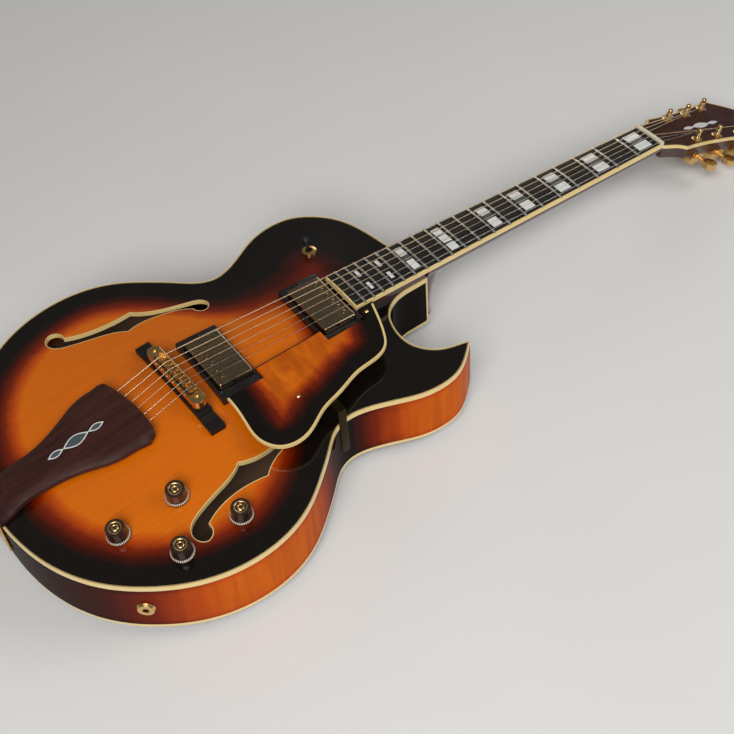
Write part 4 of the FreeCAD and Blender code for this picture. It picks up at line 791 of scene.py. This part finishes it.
def reach_of(piece, faces, axis):
    """How far apart the middles of some faces lie along an axis."""
    spots = [piece.data.polygons[index].center[axis] for index in faces]
    return max(spots) - min(spots)


def second_finish(piece, faces):
    """Gives some faces the second of the piece's materials."""
    for index in faces:
        piece.data.polygons[index].material_index = 1


def eased(values, low, high):
    share = np.clip((values - low) / (high - low), 0, 1)
    return share * share * (3 - 2 * share)


def axis_frame(joint):
    """Place and turn of a hinge: its axis as local Z."""
    turn = UP.rotation_difference(Vector(joint["axis"])).to_matrix().to_4x4()
    return Matrix.Translation(Vector(joint["pos_m"])) @ turn


def drawn(name, points):
    """A line through the given points, drawn by extruding one vertex; left in edit mode."""
    bpy.ops.mesh.primitive_plane_add(size=MM)
    piece = bpy.context.object
    piece.name = name
    edit(piece)
    bpy.ops.mesh.merge(type="CENTER")
    bpy.ops.transform.translate(value=points[0])
    for first, second in zip(points, points[1:]):
        step = Vector(second) - Vector(first)
        bpy.ops.mesh.extrude_vertices_move(TRANSFORM_OT_translate={"value": step})
    bpy.ops.mesh.select_all(action="SELECT")
    return piece


def turned(name, profile, place):
    """A turned piece: a line of (radius, height) points spun round Z, closed and put in its place."""
    piece = drawn(name, [(radius, 0, height) for radius, height in profile])
    bpy.ops.mesh.spin(steps=sizes().turned_steps, angle=math.tau, center=(0, 0, 0), axis=(0, 0, 1))
    bpy.ops.mesh.select_all(action="SELECT")
    bpy.ops.mesh.remove_doubles(threshold=WELD)
    bpy.ops.mesh.normals_make_consistent(inside=False)
    leave()
    piece.data.transform(place)
    smooth(piece, TURNED_DEGREES)
    return piece


def flat_shape(name, outline, thick):
    """A thin plate with the given outline in XY, extruded up from zero."""
    piece = drawn(name, [(x, y, 0) for x, y in outline])
    bpy.ops.mesh.edge_face_add()
    bpy.ops.mesh.extrude_region_move(TRANSFORM_OT_translate={"value": (0, 0, thick)})
    bpy.ops.mesh.select_all(action="SELECT")
    bpy.ops.mesh.normals_make_consistent(inside=False)
    leave()
    return piece


def joined(pieces, name):
    select_only(*pieces)
    bpy.ops.object.join()
    pieces[0].name = name
    return pieces[0]


def lens_outline(long, wide):
    """Two arcs that meet in points: a slim leaf."""
    upper = [(-long / 2 + long * step / LEAF_STEPS, wide / 2 * math.sin(math.pi * step / LEAF_STEPS))
             for step in range(LEAF_STEPS)]
    return upper + [(-x, -y) for x, y in upper]


# Pieces
class GUITAR_OT_body(bpy.types.Operator):
    """Paint the top, back and sides, and give the bindings their plies"""

    bl_idname = "guitar.body"
    bl_label = "Body"

    def execute(self, context):
        walls = plan_tree("rim")
        low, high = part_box("rim")
        self.plate("top_plate", walls, low, high, spruce_burst())
        self.plate("back_plate", walls, low, high, maple_back())
        self.sides(low, high)
        self.bindings(high.x - low.x)
        for node in ("neck_block", "tail_block", "kerfed_linings", "tone_bars"):
            dressed(node, inner_wood())
        return {"FINISHED"}

    def plate(self, node, walls, low, high, surface):
        piece = copy_of(node)
        spots = points_of(piece)
        start, end = (low.x + share * (high.x - low.x) for share in BURST_WIDENS)
        reach = eased(spots[:, 0], start, end)
        width = sizes().burst_tail + (sizes().burst_neck - sizes().burst_tail) * reach
        store(piece, "burst", plan_distance(walls, spots) / width)
        smooth(piece)
        settle(piece, node, surface, inner_wood())
        inside = -1 if node == "top_plate" else 1
        second_finish(piece, [
            face.index for face in piece.data.polygons if face.normal.z * inside > LEVEL_FACE])

    def sides(self, low, high):
        piece = copy_of("rim")
        spots = points_of(piece)
        along = (spots[:, 0] - low.x) / (high.x - low.x)
        # Painted shade at the waist, the tail end and the cutaway, plus the burst near the top and back edges
        waist_shade = np.exp(-((along - WAIST_AT) / WAIST_WIDE) ** 2)
        tail = 1 - eased(along, *TAIL_SPAN)
        side = eased(spots[:, 1], *(high.y * share for share in CUTAWAY_SIDE))
        cutaway_shade = eased(along, *CUTAWAY_SPAN) * side
        level = np.abs(spots[:, 2] - (low.z + high.z) / 2) / ((high.z - low.z) / 2)
        edge = eased(level, *EDGE_SPAN)
        dark = np.clip(waist_shade * WAIST_SHADE + tail * TAIL_SHADE + cutaway_shade + edge * EDGE_DARK, 0, 1)
        # The sides' burst attribute carries the painted shade together with the burst
        store(piece, "burst", SIDE_LIGHT - dark * SIDE_DEPTH)
        smooth(piece)
        settle(piece, "rim", maple_sides())

    def bindings(self, body_length):
        """Plies on the two edge bindings, from their outer wall to the plate; the others are plain."""
        piece = copy_of("body_bindings")
        plate = surface_of("top_plate")
        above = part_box("top_plate")[1].z + MM
        ply = np.zeros(len(piece.data.vertices))
        for face in piece.data.polygons:
            beside = face.center + face.normal * MM
            upright = abs(face.normal.z) < LEVEL_FACE
            if upright and plate.ray_cast(Vector((beside.x, beside.y, above)), DOWN)[0]:
                ply[list(face.vertices)] = 1
        store(piece, "ply", ply)
        smooth(piece)
        settle(piece, "body_bindings", cream_plies(), cream())
        for group in islands(piece):
            if reach_of(piece, group, axis=0) < body_length / 2:
                second_finish(piece, group)


class GUITAR_OT_neck(bpy.types.Operator):
    """Finish the neck, headstock, fretboard, frets and inlays"""

    bl_idname = "guitar.neck"
    bl_label = "Neck"

    def execute(self, context):
        dressed("neck", dark_neck())
        dressed("heel_cap", ebony())
        dressed("fretboard", ebony())
        dressed("headstock_veneer", head_face())
        dressed("neck_bindings", cream())
        dressed("nut", bone())
        dressed("truss_rod", nickel())
        dressed("frets", nickel(), degrees=45)
        self.inlays()
        self.ornament()
        return {"FINISHED"}

    def inlays(self):
        """Pearl blocks with dark shell between their halves; the two last are plain bars."""
        piece = dressed("fret_inlays", pearl(), abalone())
        frets = {}
        for group in islands(piece):
            frets.setdefault(round(middle_of(piece, group).x / MM), []).extend(group)
        for place, (low, high) in zip(sorted(frets, reverse=True), INLAY_DARK_SHARES):
            offs = {index: abs(piece.data.polygons[index].center.y) for index in frets[place]}
            half = max(offs.values())
            second_finish(piece, [
                index for index, off in offs.items() if low * half <= off < high * half])

    def ornament(self):
        """A generic inlay: three slim leaves in line."""
        normal = Vector(JOINTS["tuner_post_1"]["axis"])
        low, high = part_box("headstock_veneer")
        along = Vector((normal.z, 0, -normal.x))
        face = surface_of("headstock_veneer")
        span = sizes().head_inlay
        leaves = []
        turn = Matrix((along, Vector((0, 1, 0)), normal)).transposed().to_4x4()
        for step, share in HEAD_LEAVES:
            spot = Vector(((low.x + high.x) / 2, 0, high.z + RAY_RISE)) + along * (step * span)
            hit = face.ray_cast(spot, DOWN)[0]
            long = span * share
            leaf = flat_shape("leaf", lens_outline(long, long * HEAD_LEAF_SLIM), sizes().inlay_lift)
            leaf.data.transform(Matrix.Translation(hit - normal * HEAD_SINK) @ turn)
            leaves.append(leaf)
        settle(joined(leaves, "headstock_inlay"), "headstock_veneer", pearl(), stands_for=False)


class GUITAR_OT_tuners(bpy.types.Operator):
    """Plate the tuners and give the string turns on their posts the strings' metal"""

    bl_idname = "guitar.tuners"
    bl_label = "Tuners"

    def execute(self, context):
        dressed("tuner_housings", gold(), soft=sizes().soft_edge)
        dressed("tuner_bushings", gold())
        for number in range(1, STRING_COUNT + 1):
            dressed(f"tuner_button_{number}", gold())
            metal = bronze_wound() if number > PLAIN_STRINGS else nickel()
            piece = dressed(f"tuner_post_{number}", gold(), metal)
            wrap = max(islands(piece), key=lambda group: middle_of(piece, group).z)
            second_finish(piece, wrap)
        return {"FINISHED"}


class GUITAR_OT_strings(bpy.types.Operator):
    """Give the strings their metal"""

    bl_idname = "guitar.strings"
    bl_label = "Strings"

    def execute(self, context):
        piece = dressed("strings", nickel(), bronze_wound(), degrees=60)
        groups = sorted(islands(piece), key=lambda group: middle_of(piece, group).y)
        for group in groups[PLAIN_STRINGS:]:
            second_finish(piece, group)
        return {"FINISHED"}


class GUITAR_OT_tailpiece(bpy.types.Operator):
    """Finish the wooden tailpiece, its inlay and its metal plate"""

    bl_idname = "guitar.tailpiece"
    bl_label = "Tailpiece"

    def execute(self, context):
        dressed("tailpiece", rosewood())
        dressed("tailpiece_bracket", gold(), soft=sizes().soft_edge)
        self.inlay()
        return {"FINISHED"}

    def inlay(self):
        """A generic inlay: a row of leaves that grow to the middle, each a pearl line round abalone."""
        low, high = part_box("tailpiece")
        face = surface_of("tailpiece")
        centre = low.x + TAIL_INLAY_AT * (high.x - low.x)
        line = sizes().inlay_line
        lift = sizes().inlay_lift
        light = []
        dark = []
        for step, share in TAIL_LEAVES:
            long = sizes().inlay_length * share
            wide = sizes().inlay_width * share / TAIL_LEAF_LONGEST
            at = Matrix.Translation((centre + step * sizes().inlay_length, 0, 0))
            inner = lens_outline(long - line * LINES_ALONG, wide - line * LINES_ACROSS)
            for group, outline, rise in ((light, lens_outline(long, wide), lift),
                                         (dark, inner, lift * DARK_LEAF_LIFT)):
                leaf = flat_shape("leaf", outline, rise)
                leaf.data.transform(at)
                group.append(leaf)
        for name, group, surface in (("tailpiece_inlay", light, pearl()),
                                     ("tailpiece_inlay_dark", dark, abalone())):
            piece = joined(group, name)
            sliced(piece, sizes().mesh_step)
            for vertex in piece.data.vertices:
                above = Vector((vertex.co.x, vertex.co.y, high.z + RAY_RISE))
                vertex.co.z += face.ray_cast(above, DOWN)[0].z - TAIL_SINK
            settle(piece, "tailpiece", surface, stands_for=False)


class GUITAR_OT_bridge(bpy.types.Operator):
    """Finish the bridge's base, posts, wheels, bar and saddles"""

    bl_idname = "guitar.bridge"
    bl_label = "Bridge"

    def execute(self, context):
        dressed("bridge_base", ebony(), soft=sizes().soft_edge)
        self.bar()
        for node in ("bridge_posts", "bass_thumbwheel", "treble_thumbwheel"):
            dressed(node, gold())
        for number in range(1, STRING_COUNT + 1):
            dressed(f"saddle_{number}", gold(), soft=sizes().soft_edge / 2)
        return {"FINISHED"}

    def bar(self):
        """The bar, with its ends rounded and a soft upper rim."""
        piece = copy_of("bridge_bar")
        flattened(piece)
        low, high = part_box("bridge_bar")
        centre = (low + high) / 2
        across = Vector(JOINTS["saddle_1"]["axis"])
        along = UP.cross(across)
        round_end = sizes().bar_round
        rim = sizes().bar_rim

        def off(spot, direction):
            return abs((spot - centre).dot(direction))

        wide = max(off(vertex.co, across) for vertex in piece.data.vertices)
        long = max(off(vertex.co, along) for vertex in piece.data.vertices)

        def corner(first, second):
            upright = (first - second).xy.length < WELD and abs(first.z - second.z) > rim
            return upright and off(first, along) > long - WELD

        def on_rim(spot):
            outside = off(spot, across) > wide - rim or off(spot, along) > long - round_end / 2
            return outside and spot.z > high.z - WELD

        def outline(first, second):
            return on_rim(first) and on_rim(second)

        for wanted, offset, segments in ((corner, round_end, END_SEGMENTS), (outline, rim, RIM_SEGMENTS)):
            pick_edges(piece, wanted)
            bpy.ops.mesh.bevel(offset=offset, segments=segments, affect="EDGES")
            leave()
        smooth(piece)
        settle(piece, "bridge_bar", gold())


class GUITAR_OT_pickups(bpy.types.Operator):
    """Finish the pickups' covers and rings"""

    bl_idname = "guitar.pickups"
    bl_label = "Pickups"

    def execute(self, context):
        for node in ("neck_pickup", "bridge_pickup"):
            dressed(node, cover_metal(), soft=sizes().soft_edge / 2)
        piece = dressed("pickup_rings", black_plastic(), gold(), soft=sizes().soft_edge)
        for group in islands(piece):
            if reach_of(piece, group, axis=1) < SCREW_REACH:
                second_finish(piece, group)
        return {"FINISHED"}


class GUITAR_OT_controls(bpy.types.Operator):
    """Turn the knobs and finish the switch and the jack"""

    bl_idname = "guitar.controls"
    bl_label = "Controls"

    def execute(self, context):
        for node in KNOBS:
            self.knob(node)
        dressed("potentiometers", nickel())
        dressed("toggle_switch_body", gold())
        piece = dressed("toggle_lever", black_plastic(), gold())
        for group in islands(piece)[1:]:
            second_finish(piece, group)
        dressed("output_jack", gold())
        return {"FINISHED"}

    def knob(self, node):
        """A skirted knob on its shaft, with a gold insert in its crown and pale marks round its skirt that also
        stand for a painted highlight.
        """
        place = axis_frame(JOINTS[node])
        local = [place.inverted() @ vertex.co for vertex in NODES[node].data.vertices]
        outer = max(spot.xy.length for spot in local)
        bore = min(spot.xy.length for spot in local if spot.xy.length > MM)
        top = max(spot.z for spot in local)
        foot = min(spot.z for spot in local if spot.xy.length > outer * SKIRT_SHARE)
        sunk = min(spot.z for spot in local)
        tall = top - foot
        inside = foot + tall * BORE_SHARE
        hollow = [(0, inside), (bore, inside), (bore, foot)]
        shell, insert, groove = (
            turned(node + part, start + [(outer * wide, foot + tall * high) for wide, high in shares], place)
            for part, start, shares in (("_shell", hollow, SHELL_SHARES), ("_insert", [], INSERT_SHARES),
                                        ("_groove", [], GROOVE_SHARES)))
        shaft = turned(node + "_shaft", [(0, sunk), (bore, sunk), (bore, inside), (0, inside)], place)
        settle(shell, node, brown_plastic())
        settle(insert, node, gold(), stands_for=False)
        settle(groove, node, brown_plastic(), stands_for=False)
        settle(shaft, node, nickel(), stands_for=False)
        settle(self.marks(node, outer, foot, tall, place), node, pale_marks(), stands_for=False)

    def marks(self, node, outer, foot, tall, place):
        """A ring of marks that lie on the slope of the knob's skirt, large and pale enough to also stand for a
        painted highlight: one is drawn and then copied round.
        """
        (low_wide, low_high), (high_wide, high_high) = SLOPE_SHARES
        run = outer * (low_wide - high_wide)
        rise = tall * (high_high - low_high)
        long = math.hypot(run, rise) * MARK_SHARE
        wide = outer * MARK_WIDTH_SHARE
        middle = (outer * (low_wide + high_wide) / 2, 0, foot + tall * (low_high + high_high) / 2)
        mark = flat_shape("mark", [(-long / 2, -wide / 2), (long / 2, -wide / 2), (long / 2, wide / 2),
                                   (-long / 2, wide / 2)], sizes().mark_lift)
        mark.data.transform(Matrix.Translation(middle) @ Matrix.Rotation(math.atan2(rise, run), 4, "Y"))
        ring = [linked("mark", mark.data.copy()) for _ in range(1, MARK_COUNT)]
        for step, copy in enumerate([mark, *ring]):
            copy.data.transform(place @ Matrix.Rotation(math.tau * step / MARK_COUNT, 4, "Z"))
        return joined([mark, *ring], node + "_marks")


class GUITAR_OT_pickguard(bpy.types.Operator):
    """Paint the pickguard and finish its binding and bracket"""

    bl_idname = "guitar.pickguard"
    bl_label = "Pickguard"

    def execute(self, context):
        piece = copy_of("pickguard")
        sliced(piece, sizes().mesh_step)
        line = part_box("pickguard")[1].y - sizes().guard_line
        edit(piece)
        bpy.ops.mesh.bisect(plane_co=(0, line, 0), plane_no=(0, 1, 0), threshold=WELD)
        leave()
        edge = plan_distance(plan_tree("pickguard_binding"), points_of(piece))
        store(piece, "burst", np.clip(edge / sizes().guard_burst, 0, 1))
        smooth(piece)
        settle(piece, "pickguard", maple_guard(), black_plastic())
        second_finish(piece, [face.index for face in piece.data.polygons if face.center.y > line])
        dressed("pickguard_binding", cream())
        piece = dressed("pickguard_bracket", black_metal(), gold(), soft=sizes().soft_edge / 2)
        for group in islands(piece):
            if max(piece.data.polygons[index].center.z for index in group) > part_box("pickguard")[1].z:
                second_finish(piece, group)
        return {"FINISHED"}


class GUITAR_OT_strap_pins(bpy.types.Operator):
    """Plate the strap pins"""

    bl_idname = "guitar.strap_pins"
    bl_label = "Strap pins"

    def execute(self, context):
        dressed("strap_pins", gold())
        return {"FINISHED"}


class GUITAR_OT_stage(bpy.types.Operator):
    """Lay the floor and set the lights and the camera"""

    bl_idname = "guitar.stage"
    bl_label = "Stage"

    def execute(self, context):
        stage = context.scene.guitar_stage
        low, high = CAD_BOX
        bpy.ops.mesh.primitive_plane_add(
            size=stage.floor_size, location=((low.x + high.x) / 2, 0, low.z))
        floor = context.object
        floor.name = "floor"
        floor.data.materials.append(studio_floor())
        for name, at, side in LIGHTS:
            self.light(name, at, side, getattr(stage, name + "_power"))
        world = bpy.data.worlds.new("studio")
        world.use_nodes = True
        background = world.node_tree.nodes["Background"].inputs
        background["Color"].default_value = (*stage.sky_colour, 1)
        background["Strength"].default_value = stage.sky
        context.scene.world = world
        context.scene.view_settings.view_transform = "Standard"
        self.camera(context, stage)
        return {"FINISHED"}

    def light(self, name, at, side, power):
        lamp = bpy.data.lights.new(name, "AREA")
        lamp.size = side
        lamp.energy = power
        holder = linked(name, lamp)
        aim = LIGHT_AIM - Vector(at)
        holder.matrix_world = Matrix.Translation(at) @ aim.to_track_quat("-Z", "Y").to_matrix().to_4x4()

    def camera(self, context, stage):
        lens = bpy.data.cameras.new("photo_camera")
        lens.lens = stage.lens
        holder = linked("photo_camera", lens)
        right = Vector(stage.camera_right).normalized()
        up = Vector(stage.camera_up).normalized()
        turn = Matrix((right, up, right.cross(up))).transposed().to_4x4()
        holder.matrix_world = Matrix.Translation(Vector(stage.camera_at)) @ turn
        context.scene.camera = holder


PIECES = (
    GUITAR_OT_body, GUITAR_OT_neck, GUITAR_OT_tuners, GUITAR_OT_strings, GUITAR_OT_tailpiece,
    GUITAR_OT_bridge, GUITAR_OT_pickups, GUITAR_OT_controls, GUITAR_OT_pickguard, GUITAR_OT_strap_pins,
    GUITAR_OT_stage)


class GUITAR_PT_pieces(bpy.types.Panel):
    """Lists the pieces and their settings"""

    bl_idname = "GUITAR_PT_pieces"
    bl_label = "Archtop guitar"
    bl_space_type = "VIEW_3D"
    bl_region_type = "UI"
    bl_category = "Guitar"

    def draw(self, context):
        for piece in PIECES:
            self.layout.operator(piece.bl_idname)
        for name, kind in GROUPS.items():
            for key in kind.__annotations__:
                self.layout.prop(getattr(context.scene, name), key)


GROUPS = {"guitar_colours": GuitarColours, "guitar_sizes": GuitarSizes, "guitar_stage": GuitarStage}


def register():
    for kind in (*GROUPS.values(), *PIECES, GUITAR_PT_pieces):
        bpy.utils.register_class(kind)
    for key, kind in GROUPS.items():
        setattr(bpy.types.Scene, key, PointerProperty(type=kind))


def unregister():
    for key in GROUPS:
        delattr(bpy.types.Scene, key)
    for kind in reversed((*GROUPS.values(), *PIECES, GUITAR_PT_pieces)):
        bpy.utils.unregister_class(kind)


def main():
    register()
    for piece in PIECES:
        group, name = piece.bl_idname.split(".")
        getattr(getattr(bpy.ops, group), name)()


if __name__ == "__main__":
    main()
